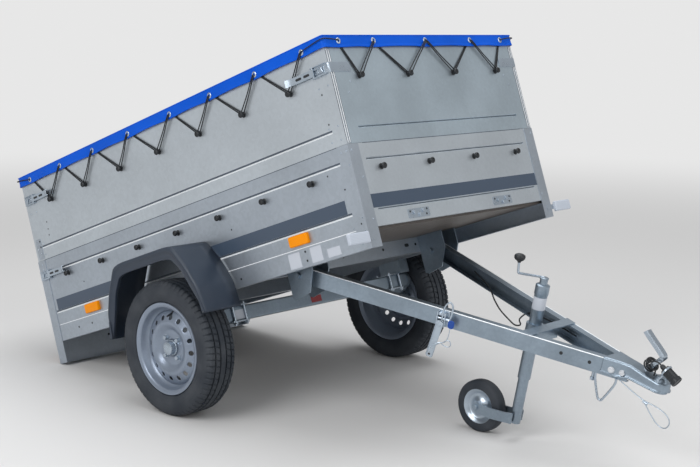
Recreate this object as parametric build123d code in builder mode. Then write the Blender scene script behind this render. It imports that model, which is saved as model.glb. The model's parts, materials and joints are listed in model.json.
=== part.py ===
"""Single-axle galvanised box trailer with a V drawbar, standing tipped back on its rear edge.

Three frames are used, all with X forward, Y to the left and Z up:
  box      origin on the middle of the box front, level with the bottom of the side rails
  drawbar  origin midway between the two pivot bolts, X along the level middle of the beams
  trailer  origin on the floor, the frame every piece is written in
Sizes are millimetres and angles are degrees.
"""
import os
from math import asin, atan, atan2, cos, degrees, hypot, pi, radians, sin, tan

from build123d import *

# ---- box -----------------------------------------------------------------------------------
box_length = 2010.0
box_width = 1100.0
sheet = 2.0                 # galvanised sheet
rail_height = 72.0          # side rails of the chassis
rail_flange = 36.0
board_top = 372.0           # top of the lower boards
extension_top = 762.0       # top of the upper boards
board_depth = 20.0          # folded edge of a board
groove_depth = 4.0          # grooves pressed along the boards
groove_half = 5.0
lower_grooves = (132.0, 314.0)
upper_groove = 431.0
post_leg = 54.0             # legs of the corner posts
seam = 1.0                  # between one board and the next
floor_thickness = 9.0
cross_member_height = 64.0
cross_member_depth = 40.0
cross_member_backs = (560.0, 1480.0)

# ---- tailgate ------------------------------------------------------------------------------
tailgate_gap = 6.0
tailgate_pin_radius = 5.0
tailgate_hinge_offset = 300.0
tailgate_knuckle = 9.0      # radius
tailgate_pin_drop = 6.0     # below the tailgate's lower edge
tailgate_leaf = 30.0        # length of one knuckle
tailgate_leaf_height = 60.0
tailgate_leaf_thickness = 4.0
running_gap = 1.0           # beside a knuckle
rear_post_leg = 24.0        # rear posts' leg across the back

# ---- rear light board ----------------------------------------------------------------------
light_board_drop = 97.0     # below the side rails
light_board_depth = 45.0
lamp_width = 210.0
lamp_height = 62.0
lamp_depth = 38.0
plate_width = 340.0
plate_height = 84.0

# ---- tarpaulin -----------------------------------------------------------------------------
tarp_thickness = 2.0
tarp_skirt = 45.0
tarp_corner = 12.0          # radius
tarp_stand_off = 5.0        # outside of the skirt beyond the boards

# ---- corner latches ------------------------------------------------------------------------
latch_high = 650.0
latch_low = 304.0
latch_metal = 2.5
latch_strap_height = 36.0
latch_reach = 107.0         # strap across the box's end
latch_seat = 2.0            # upper straps lie this much inside the corner
latch_foot_start = 12.0
latch_foot_end = 85.0
latch_foot_height = 40.0
latch_foot_flange = 9.0
latch_pin_back = 74.0
latch_pin_radius = 3.2
lever_half = 13.0
catch_length = 60.0
# columns: distance along the side from the corner, inner and outer distance from the strap
lever_rows = ((68.0, 4.0, 12.0), (160.0, 4.0, 12.2), (186.0, 7.0, 15.6), (207.0, 15.0, 24.0))

# ---- plates bolted on the front ------------------------------------------------------------
front_plate_places = (-262.0, 243.0)
front_plate_height = 98.0
front_plate_length = 118.0
front_plate_width = 34.0
front_plate_corner = 5.0
front_plate_nuts = (-28.0, 0.0, 22.0)
front_plate_nut = 6.5

# ---- marker lamps --------------------------------------------------------------------------
marker_length = 100.0
marker_height = 40.0
marker_depth = 14.0
front_marker_length = 106.0
front_marker_height = 41.0
front_marker_depth = 12.0
front_marker_out = 117.0
front_marker_rise = 39.0
front_marker_grip = 30.0    # strap on the front of the post
front_marker_strap = 20.0

# ---- rope hooks ----------------------------------------------------------------------------
hook_low = 281.0
hook_high = 616.0
side_hooks = 7
side_hook_end = 213.0       # outermost hook from the box's end
end_hooks = 4
end_hook_end = 147.25       # outermost hook from the box's side
hook_radius = 11.0
hook_neck_radius = 5.0
hook_reach = 20.0
hook_head = 8.0

# ---- wheels and axle -----------------------------------------------------------------------
rim_diameter = 330.2
tyre_section = 145.0
tyre_aspect = 0.70
tyre_bulge = 74.0           # half of the inflated width
tyre_low_share = 0.36       # of the way from seat to tread, on the lower wall
tyre_low_in = 4.0           # wall inside the bulge there
tyre_wide_share = 0.60      # of the way from seat to tread, where it is widest
tyre_shoulder = (17.0, 6.0)  # below the tread's crown, inside the bulge
tread_half = 57.0
tread_edge = (3.0, 2.0)     # below the crown, inside tread_half
tread_crown = 24.0          # inside tread_half
tread_wall = 12.0
tyre_bead = 15.0
tyre_wall = 10.0
rim_half = 57.15            # half of the width between the flanges
rim_flange_height = 17.3
rim_sheet = 4.0
wheel_offset = 30.0         # mounting face outboard of the wheel's middle
wheel_out = 102.0           # middle of a wheel outboard of the box side
axle_back = 1033.0          # wheel axis behind the box front
axle_drop = 159.0           # wheel axis below the side rails
axle_tube = 58.0
axle_tube_ahead = 150.0     # tube ahead of the wheel axis
axle_tube_rise = 71.0       # tube above the wheel axis
axle_wall = 5.0
axle_out = 2.0              # tube's ends outboard of the box side
hanger_length = 118.0
hanger_width = 60.0
arm_thickness = 18.0
arm_radius = 34.0
spindle_radius = 15.0
running_clearance = 0.05
hub_radius = 31.0
hub_gap = 6.0               # hub to arm
hub_nose = 58.0             # end of the grease cap, outboard of the wheel's middle
hub_flange = 12.0
hub_flange_radius = 66.0
spindle_end = 36.0          # outboard of the wheel's middle
wheel_bolts = 4
wheel_bolt_circle = 49.0    # radius
wheel_bolt_radius = 6.0
wheel_bolt_head = 9.5
wheel_bolt_head_height = 9.0
bolt_slack = 0.5
rim_seat_width = 19.0       # outer bead seat
rim_well_depth = 15.0
rim_well_slope = 10.0       # along the axle, from seat to well
rim_well_back = -12.0       # inner edge of the well, from the wheel's middle
rim_well_draw = 1.0         # the sloping walls are set in by this
disc_bowl_radius = 80.0
disc_crest_radii = (96.0, 108.0)
disc_crest_height = 16.0
disc_foot_depth = 8.0
vent_holes = 16
vent_circle = 128.0         # radius
vent_radius = 7.5

# ---- mudguards -----------------------------------------------------------------------------
mudguard_width = 190.0
mudguard_wall = 3.0
# half length and height of the arch and of the opening in its outer face
mudguard_arch = ((306.0, -67.0), (295.0, 33.0), (255.0, 120.0), (187.0, 218.0))
mudguard_opening = ((300.0, -67.0), (250.0, 33.0), (215.0, 111.0), (163.0, 172.0))

# ---- drawbar -------------------------------------------------------------------------------
pivot_back = 505.0          # pivot bolts behind the box front
pivot_drop = 11.0
pivot_inset = 132.0         # beam's outer face at the pivot, inboard of the box side
drawbar_fold = 30.55        # box against drawbar, from level to tipped right back
beam_height = 62.0
beam_flange = 32.0
beam_sheet = 4.0
beam_back = 34.0            # beam behind the pivot
beam_front = 1170.0         # beam ahead of the pivot
beam_front_half = 38.5      # beam's outer face there, from the drawbar's middle line
pivot_bolt_radius = 8.0
pivot_bolt_head_radius = 13.6
bracket_plate = 5.0
bracket_gap = 5.0           # plate to beam
bracket_reach = 85.0        # beam between the plates, ahead of the pivot
bracket_ahead = 80.0        # plates ahead of the pivot
bracket_shoulder = 8.0      # their corners below the side rails
bracket_foot_ahead = 40.0
bracket_foot_drop = 85.0
bracket_foot_behind = 38.0
bracket_drop = 101.0
bracket_heel_drop = 93.0
pivot_bolt_head = 10.0
brace_sheet = 5.0
brace_start = 826.0
brace_width = 45.0

# ---- coupling ------------------------------------------------------------------------------
coupling_start = 1120.0
coupling_waist = 1180.0     # where its sides stop following the beams
coupling_neck = 1215.0
coupling_neck_half = 33.0
coupling_nose = 1355.0
coupling_nose_radius = 35.0
coupling_sheet = 4.0
coupling_flange = 8.0
ball_radius = 25.0
coupling_socket_top = 31.0
# the coupling's lower and upper edge as (along the drawbar, height)
coupling_edge = ((1115.0, -14.0), (1170.0, -18.0), (1215.0, -8.0), (1265.0, -11.0), (1360.0, -16.0))
coupling_top = (
    (1115.0, 35.0),
    (1180.0, 35.0),
    (1215.0, 34.0),
    (1265.0, 24.0),
    (1320.0, 16.0),
    (1360.0, 14.0),
)
handle_width = 30.0
# the lever seen from the side, from its foot's front round its tip
handle_outline = (
    (1263.0, 26.0),
    (1311.4, 81.0),
    (1322.0, 101.0),
    (1316.5, 106.0),
    (1233.5, 169.0),
    (1224.5, 157.0),
    (1299.0, 98.0),
    (1252.6, 41.0),
)

# ---- lighting cable, plug and safety gear --------------------------------------------------
plug_face = (1392.0, 42.0)  # along the drawbar and height
plug_lean = -26.0           # from level, nose down
plug_side = -27.0
plug_radius = 18.0
plug_barrel = 62.0
plug_rim = 20.5
plug_rim_length = 14.0
plug_neck = 9.0
plug_length = 80.0
plug_ring_at = 50.0
plug_ring_wall = 4.0
plug_ring_length = 6.0
plug_stalk_width = 6.0
plug_stalk_gap = 1.5       # below the plug
coil_centre = (1270.7, 52.8)
coil_lean = 46.0            # of the lever's foot, which it is wound round
coil_height = 22.0
coil_length = 64.0
coil_width = 76.0
coil_band = 19.0
coil_corner = 26.0
lead_radius = 2.8
lead_route = (
    (1272.2, -28.0, 66.7),
    (1276.1, -27.8, 71.3),
    (1286.3, -27.5, 77.7),
    (1297.3, -27.2, 82.4),
    (1309.3, -27.0, 82.4),
    (1320.1, -27.0, 77.1),
)
wire_radius = 2.0
wire_route = (
    (1166.0, -24.0, -29.0),
    (1206.0, -24.0, -44.0),
    (1249.0, -24.0, -58.0),
    (1290.0, -24.0, -70.0),
)
loop_outline = (
    (1290.0, -67.0),
    (1340.0, -70.0),
    (1379.0, -82.0),
    (1397.0, -104.0),
    (1390.0, -128.0),
    (1366.0, -134.0),
    (1330.0, -113.0),
    (1290.0, -73.5),
)
ring_side = 34.0
ring_rod = 4.2
ring_outline = (
    (1088.0, -31.0),
    (1092.0, -62.0),
    (1117.0, -126.0),
    (1130.0, -131.0),
    (1142.0, -124.0),
    (1176.0, -58.0),
    (1180.0, -31.0),
)
ring_opening = (
    (1096.4, -31.0),
    (1100.2, -61.0),
    (1123.0, -119.0),
    (1130.0, -122.0),
    (1136.0, -118.0),
    (1168.0, -55.0),
    (1171.6, -31.0),
)

# ---- jockey wheel --------------------------------------------------------------------------
jockey_behind = 38.0        # tube's middle behind the brace
jockey_tube_radius = 24.0
jockey_tube_wall = 3.0
jockey_tube_top = 176.0
jockey_tube_bottom = -190.0
jockey_overlap = 150.0      # leg inside the tube
jockey_cap = 24.0
jockey_trail = 158.0
jockey_wheel_radius = 100.0
jockey_wheel_width = 50.0
jockey_edge = (8.0, 10.0)   # its slope, in radius and along the pin
jockey_hub_width = 62.0
jockey_pin_radius = 8.0
jockey_side = 0.0
jockey_boss = 20.0
jockey_rim_radius = 66.0
fork_plate = 5.0
fork_gap = 1.0
fork_block = 42.0
fork_eye = 18.0
clamp_wall = 8.0
clamp_height = 52.0
clamp_lug = 40.0
crank_reach = 116.0
crank_rod = 5.0
crank_knob = 20.0
crank_knob_stem = 26.0
crank_knob_height = 28.0

# ---- tip latch -----------------------------------------------------------------------------
latch_along = 560.0
latch_width = 54.0
latch_depth = 26.0
latch_plate = 5.0
latch_drop = 135.0

# ---- worked-out values ---------------------------------------------------------------------
side_hook_pitch = (box_length - 2 * side_hook_end) / (side_hooks - 1)
end_hook_pitch = (box_width - 2 * end_hook_end) / (end_hooks - 1)
jockey_along = brace_start - jockey_behind
tyre_height = tyre_section * tyre_aspect
tyre_radius = rim_diameter / 2 + tyre_height
half_width = box_width / 2
wheel_y = half_width + wheel_out
axle_half = half_width + axle_out
pivot_half_span = half_width - pivot_inset
beam_spread = (pivot_half_span - beam_front_half) / beam_front
beam_half_angle = degrees(atan(beam_spread))

# the box tips about the wheel axis until the light board's lower rear edge is on the floor
edge_back = box_length - axle_back
edge_rise = axle_drop - light_board_drop
tilt = degrees(asin(tyre_radius / hypot(edge_back, edge_rise)) + atan2(edge_rise, edge_back))
slope = drawbar_fold - tilt


def tipped(x, z):
    """Forward and upward distances from the wheel axis of a box point (x, z)."""
    ahead, above = x + axle_back, z + axle_drop
    angle = radians(tilt)
    return ahead * cos(angle) - above * sin(angle), ahead * sin(angle) + above * cos(angle)


pivot_ahead, pivot_above = tipped(-pivot_back, -pivot_drop)
rear_reach = -tipped(-box_length - tarp_stand_off, extension_top + tarp_thickness)[0]
# the ring that holds the plug reaches furthest forward
plug_angle = radians(180 + plug_lean)
ring_ahead = plug_face[0] + plug_ring_at * cos(plug_angle)
ring_above = plug_face[1] + plug_ring_at * sin(plug_angle)
ring_reach = (plug_radius + plug_ring_wall) * abs(sin(plug_angle - radians(slope)))
ring_front = ring_ahead * cos(radians(slope)) + ring_above * sin(radians(slope)) + ring_reach
front_reach = pivot_ahead + ring_front
axle_x = (rear_reach - front_reach) / 2

wheel_rest = Location((axle_x, 0, tyre_radius))
box_rest = wheel_rest * Location((0, 0, 0), (0, -tilt, 0)) * Location((axle_back, 0, axle_drop))
pivot_x, pivot_z = axle_x + pivot_ahead, tyre_radius + pivot_above
drawbar_rest = Location((pivot_x, 0, pivot_z), (0, slope, 0))

# the jockey leg is wound out until its wheel is on the floor
jockey_hub_along = jockey_along - jockey_trail
jockey_hub_drop = (
    (pivot_z - jockey_hub_along * sin(radians(slope)) - jockey_wheel_radius) / cos(radians(slope))
)

# the plug lies along x from its face backwards and up, the coil round the lever's foot
plug_back = Vector(cos(plug_angle), 0, sin(plug_angle))
plug_plane = Plane(
    origin=(plug_face[0], plug_side, plug_face[1]), x_dir=(0, 1, 0), z_dir=plug_back
)
plug_gland = plug_plane.origin + plug_back * plug_length
ring_middle = plug_plane.origin + plug_back * (plug_ring_at + plug_ring_length / 2)
plug_down = Vector(plug_back.Z * -1, 0, plug_back.X)
stalk_top = ring_middle + plug_down * (plug_radius + plug_ring_wall / 2)
stalk_foot_z = coupling_top[-2][1] - coupling_sheet
plug_stalk = (
    (coupling_top[-2][0] - plug_ring_length, stalk_foot_z),
    (coupling_top[-2][0] + plug_ring_length, stalk_foot_z),
    (stalk_top.X + plug_ring_length, stalk_top.Z - plug_stalk_gap),
    (stalk_top.X - plug_ring_length, stalk_top.Z - plug_stalk_gap),
)
coil_up = Vector(cos(radians(coil_lean)), 0, sin(radians(coil_lean)))
coil_along = Vector(sin(radians(coil_lean)), 0, -cos(radians(coil_lean)))
coil_plane = Plane(origin=(coil_centre[0], 0, coil_centre[1]), x_dir=coil_along, z_dir=coil_up)

os.makedirs("parts", exist_ok=True)


def write(piece, name, rest):
    """Move a finished piece from its own frame into the trailer's, label it and write it."""
    placed = piece.part.moved(rest)
    placed.label = name
    export_step(placed, f"parts/{name}.step")


def side_name(side):
    """Name of the side that Y = side lies on."""
    return "left" if side > 0 else "right"


# ---- boards --------------------------------------------------------------------------------
def folded_section(bottom, top):
    """Section of a board as (inward, up) points: an upright sheet, its two edges turned inward."""
    return (
        (0.0, bottom),
        (0.0, top),
        (board_depth, top),
        (board_depth, top - sheet),
        (sheet, top - sheet),
        (sheet, bottom + sheet),
        (board_depth, bottom + sheet),
        (board_depth, bottom),
    )


def groove_section(height, back, depth, half):
    """Section of one side of a groove, from back to depth, as (inward, up) points."""
    return (
        (back, height - half),
        (back, height + half),
        (depth, height + groove_half / 5),
        (depth, height - groove_half / 5),
    )


def board(plane, outer, inward, bottom, top, grooves, length, groove_inset):
    """A board extruded from plane, its outer face at the plane's x = outer.

    Each groove is a ridge added on the inner face and a notch then cut in the outer one.
    """
    # columns: section, how far short of the board's ends it stops, add or cut
    rows = [(folded_section(bottom, top), 0.0, Mode.ADD)]
    for height in grooves:
        ridge = groove_section(height, sheet / 2, groove_depth + sheet, groove_half + sheet)
        notch = groove_section(height, 0.0, groove_depth, groove_half)
        rows.append((ridge, groove_inset, Mode.ADD))
        rows.append((notch, groove_inset + sheet, Mode.SUBTRACT))
    with BuildPart() as piece:
        for points, inset, mode in rows:
            with BuildSketch(plane.offset(inset)):
                with BuildLine():
                    Polyline(*[(outer + inward * p[0], p[1]) for p in points], close=True)
                make_face()
            extrude(amount=length - 2 * inset, mode=mode)
    return piece


def long_board(side, bottom, top, grooves):
    """A side board between the front and rear posts' outer sheets."""
    plane = Plane.YZ.offset(-box_length + sheet)
    outer = side * (half_width - sheet)
    return board(plane, outer, -side, bottom, top, grooves, box_length - 2 * sheet, post_leg)


def end_board(outer_x, inward, bottom, top, grooves, half):
    """A front or rear board, its outer face at outer_x and its folds turned inward."""
    plane = Plane.XZ.offset(-half)
    return board(plane, outer_x, inward, bottom, top, grooves, 2 * half, post_leg)


floor_bottom = rail_height - floor_thickness
for side in (-1, 1):
    name = side_name(side)
    outer_y = side * (half_width - sheet)
    with BuildPart() as rail:
        with BuildSketch(Plane.YZ.offset(-box_length + sheet + light_board_depth)):
            with BuildLine():
                Polyline(
                    (outer_y, 0),
                    (outer_y - side * rail_flange, 0),
                    (outer_y - side * rail_flange, sheet),
                    (outer_y - side * sheet, sheet),
                    (outer_y - side * sheet, rail_height - sheet - floor_thickness),
                    (outer_y - side * rail_flange, rail_height - sheet - floor_thickness),
                    (outer_y - side * rail_flange, rail_height - floor_thickness),
                    (outer_y - side * sheet, rail_height - floor_thickness),
                    (outer_y - side * sheet, rail_height),
                    (outer_y, rail_height),
                    close=True,
                )
            make_face()
        extrude(amount=box_length - 2 * sheet - light_board_depth)
    write(rail, f"side_rail_{name}", box_rest)

    write(long_board(side, rail_height, board_top, lower_grooves), f"side_board_{name}", box_rest)
    extension = long_board(side, board_top + seam, extension_top, (upper_groove,))
    write(extension, f"extension_{name}", box_rest)

inner_half = half_width - sheet - board_depth - seam
front_board = end_board(-sheet, -1, rail_height, board_top, lower_grooves, inner_half)
write(front_board, "front_board", box_rest)
front_extension = end_board(
    -sheet, -1, board_top + seam, extension_top, (upper_groove,), inner_half
)
write(front_extension, "extension_front", box_rest)
rear_extension = end_board(
    -box_length + sheet, 1, board_top + seam, extension_top, (upper_groove,), inner_half
)
write(rear_extension, "extension_rear", box_rest)

# strips that close the extension's corners, set back behind its outer sheets
with BuildPart() as extension_corners:
    for outer_x, inward in ((-sheet, -1), (-box_length + sheet, 1)):
        with BuildSketch(Plane.YZ.offset(outer_x + inward * sheet)):
            for side in (-1, 1):
                with Locations((side * (half_width - sheet - board_depth), 0)):
                    with Locations((0, (board_top + seam + extension_top) / 2)):
                        Rectangle(
                            2 * (board_depth - sheet), extension_top - board_top - seam - 2 * sheet
                        )
        extrude(amount=inward * sheet)
write(extension_corners, "extension_corners", box_rest)

# ---- corner latches ------------------------------------------------------------------------
def latch_plane(end, side, level, seat):
    """Plane at a latch's middle height: x back along the side, y inward along the box's end."""
    corner_x = -seat if end > 0 else -box_length + seat
    return Plane(
        origin=(corner_x, side * (half_width - seat), level),
        x_dir=(-end, 0, 0),
        z_dir=(0, 0, end * side),
    )


def latch(plane, reach):
    """One latch: a strap round the corner, a foot open outward, a lever and the foot's pin."""
    start, end, flange = latch_foot_start, latch_foot_end, -latch_foot_flange
    strap = (
        (0, reach),
        (-latch_metal, reach),
        (-latch_metal, -latch_metal),
        (start, -latch_metal),
        (start, 0),
        (0, 0),
    )
    foot = ((start, 0), (end, 0), (end, flange), (start, flange))
    channel = ((start, -latch_metal), (end, -latch_metal), (end, flange), (start, flange))
    lever = [(back, -inner) for back, inner, outer in lever_rows]
    lever += [(back, -outer) for back, inner, outer in reversed(lever_rows)]
    foot_half = latch_foot_height / 2
    # columns: outline seen from above, half of its height, add or cut
    rows = (
        (strap, latch_strap_height / 2, Mode.ADD),
        (foot, foot_half, Mode.ADD),
        (channel, foot_half - latch_metal, Mode.SUBTRACT),
        (lever, lever_half, Mode.ADD),
    )
    with BuildPart() as piece:
        for outline, half, mode in rows:
            with BuildSketch(plane.offset(-half)):
                with BuildLine():
                    Polyline(*outline, close=True)
                make_face()
            extrude(amount=2 * half, mode=mode)
        with BuildSketch(plane.offset(-foot_half)):
            with Locations((latch_pin_back, latch_pin_radius + flange)):
                Circle(latch_pin_radius)
        extrude(amount=latch_foot_height)
    return piece


# columns: 1 at the front or -1 at the rear, height, reach across the end, seat
latch_rows = (
    (1, latch_high, latch_reach, latch_seat),
    (-1, latch_high, latch_reach, latch_seat),
    (-1, latch_low, rear_post_leg - latch_seat, 0.0),
)
with BuildPart() as corner_latches:
    for end, level, reach, seat in latch_rows:
        for side in (-1, 1):
            add(latch(latch_plane(end, side, level, seat), reach))
write(corner_latches, "corner_latches", box_rest)

# ---- plates bolted on the front ------------------------------------------------------------
with BuildPart() as front_plates:
    with BuildSketch(Plane.YZ.offset(-sheet)):
        for middle in front_plate_places:
            with Locations((middle, front_plate_height)):
                RectangleRounded(front_plate_length, front_plate_width, front_plate_corner)
    extrude(amount=sheet)
    with BuildSketch(Plane.YZ):
        for middle in front_plate_places:
            for place in front_plate_nuts:
                with Locations((middle + place, front_plate_height)):
                    RegularPolygon(front_plate_nut, 6)
    extrude(amount=front_plate_nut)
write(front_plates, "front_plates", box_rest)

# ---- corner posts --------------------------------------------------------------------------
# columns: name, x of the outer face, direction inward, bottom, leg across the box
post_rows = (
    ("front", 0.0, -1, 0.0, post_leg),
    ("rear", -box_length, 1, -light_board_drop, rear_post_leg),
)
for name, outer_x, inward, bottom, leg in post_rows:
    with BuildPart() as posts:
        for side in (-1, 1):
            with BuildSketch(Plane.XY.offset(bottom)):
                with BuildLine():
                    y = side * half_width
                    Polyline(
                        (outer_x, y),
                        (outer_x, y - side * leg),
                        (outer_x + inward * sheet, y - side * leg),
                        (outer_x + inward * sheet, y - side * sheet),
                        (outer_x + inward * post_leg, y - side * sheet),
                        (outer_x + inward * post_leg, y),
                        close=True,
                    )
                make_face()
            extrude(amount=board_top - bottom)
    write(posts, f"corner_posts_{name}", box_rest)

# ---- floor and cross-members ---------------------------------------------------------------
# the floor lies between the folds of the boards
floor_edge = sheet + board_depth + seam
with BuildPart() as floor:
    with BuildSketch(Plane.XY.offset(floor_bottom)):
        with Locations((-box_length / 2, 0)):
            Rectangle(box_length - 2 * floor_edge, box_width - 2 * floor_edge)
    extrude(amount=floor_thickness)
write(floor, "floor", box_rest)

for number, back in enumerate(cross_member_backs, start=1):
    with BuildPart() as member:
        with BuildSketch(Plane.XZ.offset(-(half_width - sheet - rail_flange))):
            with BuildLine():
                Polyline(
                    (-back, 0),
                    (-back - cross_member_depth, 0),
                    (-back - cross_member_depth, sheet),
                    (-back - sheet, sheet),
                    (-back - sheet, floor_bottom - sheet),
                    (-back - cross_member_depth, floor_bottom - sheet),
                    (-back - cross_member_depth, floor_bottom),
                    (-back, floor_bottom),
                    close=True,
                )
            make_face()
        extrude(amount=2 * (half_width - sheet - rail_flange))
    write(member, f"cross_member_{number}", box_rest)

# ---- rear light board ----------------------------------------------------------------------
light_half = half_width - sheet
with BuildPart() as light_board:
    with BuildSketch(Plane.XZ.offset(-light_half)):
        with BuildLine():
            rear = -box_length + sheet
            Polyline(
                (rear, -light_board_drop),
                (rear + light_board_depth, -light_board_drop),
                (rear + light_board_depth, -light_board_drop + sheet),
                (rear + sheet, -light_board_drop + sheet),
                (rear + sheet, floor_bottom - sheet),
                (rear + light_board_depth, floor_bottom - sheet),
                (rear + light_board_depth, floor_bottom),
                (rear, floor_bottom),
                close=True,
            )
        make_face()
    extrude(amount=2 * light_half)
write(light_board, "rear_light_board", box_rest)

# ---- rear lamps and plate ------------------------------------------------------------------
lamp_middle = -light_board_drop / 2
lamp_back = -box_length + sheet
with BuildPart() as lamps:
    for side in (-1, 1):
        lamp_y = side * (half_width - post_leg - seam - lamp_width / 2)
        with BuildSketch(Plane.YZ.offset(lamp_back)):
            with Locations((lamp_y, lamp_middle)):
                RectangleRounded(lamp_width, lamp_height, 8)
        extrude(amount=-lamp_depth)
write(lamps, "rear_lamps", box_rest)

with BuildPart() as plate:
    with BuildSketch(Plane.YZ.offset(lamp_back)):
        with Locations((0, lamp_middle)):
            RectangleRounded(plate_width, plate_height, 6)
    extrude(amount=-sheet)
write(plate, "number_plate_board", box_rest)

# ---- marker lamps --------------------------------------------------------------------------
# columns: distance behind the box front, height above the rail's bottom
side_marker_rows = ((340.0, 103.0), (1673.0, 103.0))
with BuildPart() as side_markers:
    for side in (-1, 1):
        for back, height in side_marker_rows:
            face = Plane.XZ.offset(-side * (half_width - sheet))
            with BuildSketch(face):
                with Locations((-back, height)):
                    RectangleRounded(marker_length, marker_height, 5)
            extrude(amount=-side * marker_depth)
write(side_markers, "side_markers", box_rest)

with BuildPart() as front_markers:
    for side in (-1, 1):
        tip = half_width + front_marker_out
        root = half_width - front_marker_grip
        with BuildSketch(Plane.YZ):
            with Locations((side * (root + tip) / 2, front_marker_rise)):
                Rectangle(tip - root, front_marker_strap)
        extrude(amount=sheet)
        with BuildSketch(Plane.YZ.offset(sheet)):
            with Locations((side * (tip - front_marker_length / 2), front_marker_rise)):
                RectangleRounded(front_marker_length, front_marker_height, 5)
        extrude(amount=front_marker_depth)
write(front_markers, "front_markers", box_rest)

# ---- rope hooks ----------------------------------------------------------------------------
def hook_places(count, pitch):
    """Distances of a row of hooks from the middle of its board."""
    return [(index - (count - 1) / 2) * pitch for index in range(count)]


def rope_hooks(planes):
    """Black knobs on short necks, one standing on each plane."""
    with BuildPart() as hooks:
        with BuildSketch(*planes):
            Circle(hook_neck_radius)
        extrude(amount=hook_reach)
        with BuildSketch(*[plane.offset(hook_reach - hook_head) for plane in planes]):
            Circle(hook_radius)
        extrude(amount=hook_head)
    return hooks


side_hook_planes = [
    Plane(
        origin=(-box_length / 2 + place, side * (half_width - sheet), height),
        x_dir=(1, 0, 0),
        z_dir=(0, side, 0),
    )
    for side in (-1, 1)
    for height in (hook_low, hook_high)
    for place in hook_places(side_hooks, side_hook_pitch)
]
write(rope_hooks(side_hook_planes), "side_hooks", box_rest)

# columns: node, x of the board's outer face, way the hooks point, heights
end_hook_rows = (
    ("front_hooks", -sheet, 1, (hook_low, hook_high)),
    ("rear_hooks", -box_length + sheet, -1, (hook_high,)),
)
for node, face_x, way, heights in end_hook_rows:
    end_hook_planes = [
        Plane(origin=(face_x, place, height), x_dir=(0, 1, 0), z_dir=(way, 0, 0))
        for height in heights
        for place in hook_places(end_hooks, end_hook_pitch)
    ]
    write(rope_hooks(end_hook_planes), node, box_rest)

# ---- tarpaulin -----------------------------------------------------------------------------
tarp_front = tarp_stand_off
tarp_back = -box_length - tarp_stand_off
tarp_half = half_width + tarp_stand_off
tarp_middle = (tarp_front + tarp_back) / 2
with BuildPart() as tarpaulin:
    with BuildSketch(Plane.XY.offset(extension_top - tarp_skirt)):
        with Locations((tarp_middle, 0)):
            RectangleRounded(tarp_front - tarp_back, 2 * tarp_half, tarp_corner)
            RectangleRounded(
                tarp_front - tarp_back - 2 * tarp_thickness,
                2 * (tarp_half - tarp_thickness),
                tarp_corner - tarp_thickness,
                mode=Mode.SUBTRACT,
            )
    extrude(amount=tarp_skirt)
    with BuildSketch(Plane.XY.offset(extension_top)):
        with Locations((tarp_middle, 0)):
            RectangleRounded(tarp_front - tarp_back, 2 * tarp_half, tarp_corner)
    extrude(amount=tarp_thickness)
write(tarpaulin, "tarpaulin", box_rest)

# ---- mudguards -----------------------------------------------------------------------------
def arch_outline(rows, grow=0.0):
    """Points of an arch about the wheel axis from its (half length, height) rows, front to rear."""
    front = [(-axle_back + half + grow, height + grow * (height > 0)) for half, height in rows]
    rear = [(-axle_back - half - grow, height + grow * (height > 0)) for half, height in rows]
    return front + rear[::-1]


guard_hollow = arch_outline(mudguard_arch, -mudguard_wall)
guard_opening = arch_outline(mudguard_opening)
guard_foot = guard_hollow[0][1] - mudguard_wall
# columns: outline, how far out it reaches, add or cut
guard_rows = (
    (arch_outline(mudguard_arch), mudguard_width, Mode.ADD),
    (
        [(guard_hollow[0][0], guard_foot), *guard_hollow, (guard_hollow[-1][0], guard_foot)],
        mudguard_width - mudguard_wall,
        Mode.SUBTRACT,
    ),
    (
        [(guard_opening[0][0], guard_foot), *guard_opening, (guard_opening[-1][0], guard_foot)],
        mudguard_width,
        Mode.SUBTRACT,
    ),
)
for side in (-1, 1):
    guard_plane = Plane.XZ.offset(-side * (half_width - sheet))
    with BuildPart() as mudguard:
        for outline, reach, mode in guard_rows:
            with BuildSketch(guard_plane):
                with BuildLine():
                    Polyline(*outline, close=True)
                make_face()
            extrude(amount=-side * reach, mode=mode)
    write(mudguard, f"mudguard_{side_name(side)}", box_rest)

# ---- axle ----------------------------------------------------------------------------------
tube_x = -axle_back + axle_tube_ahead
tube_z = -axle_drop + axle_tube_rise
tube_top = tube_z + axle_tube / 2
hanger_y = half_width - sheet - hanger_width / 2
arm_lean = degrees(atan2(axle_tube_rise, axle_tube_ahead))
arm_length = hypot(axle_tube_rise, axle_tube_ahead)
with BuildPart() as axle_beam:
    with BuildSketch(Plane.XZ.offset(-axle_half)):
        with Locations((tube_x, tube_z)):
            RectangleRounded(axle_tube, axle_tube, 6)
            Rectangle(axle_tube - 2 * axle_wall, axle_tube - 2 * axle_wall, mode=Mode.SUBTRACT)
    extrude(amount=2 * axle_half)
    with BuildSketch(Plane.XY.offset(tube_top)):
        with Locations((tube_x, -hanger_y), (tube_x, hanger_y)):
            Rectangle(hanger_length, hanger_width)
            Rectangle(
                hanger_length - 2 * axle_wall, hanger_width - 2 * axle_wall, mode=Mode.SUBTRACT
            )
    extrude(amount=-tube_top)
write(axle_beam, "axle_beam", box_rest)

for side in (-1, 1):
    arm_plane = Plane.XZ.offset(-side * axle_half)
    with BuildPart() as arm:
        with BuildSketch(arm_plane):
            with Locations((tube_x - axle_tube_ahead / 2, tube_z - axle_tube_rise / 2)):
                SlotCenterToCenter(arm_length, 2 * arm_radius, rotation=arm_lean)
        extrude(amount=-side * arm_thickness)
        with BuildSketch(arm_plane):
            with Locations((-axle_back, -axle_drop)):
                Circle(spindle_radius)
        extrude(amount=-side * (wheel_y + spindle_end - axle_half))
    write(arm, f"axle_arm_{side_name(side)}", box_rest)

# ---- wheels --------------------------------------------------------------------------------
seat = rim_diameter / 2
flange = seat + rim_flange_height
well = seat - rim_well_depth
well_front = rim_half - rim_seat_width - rim_well_slope

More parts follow.
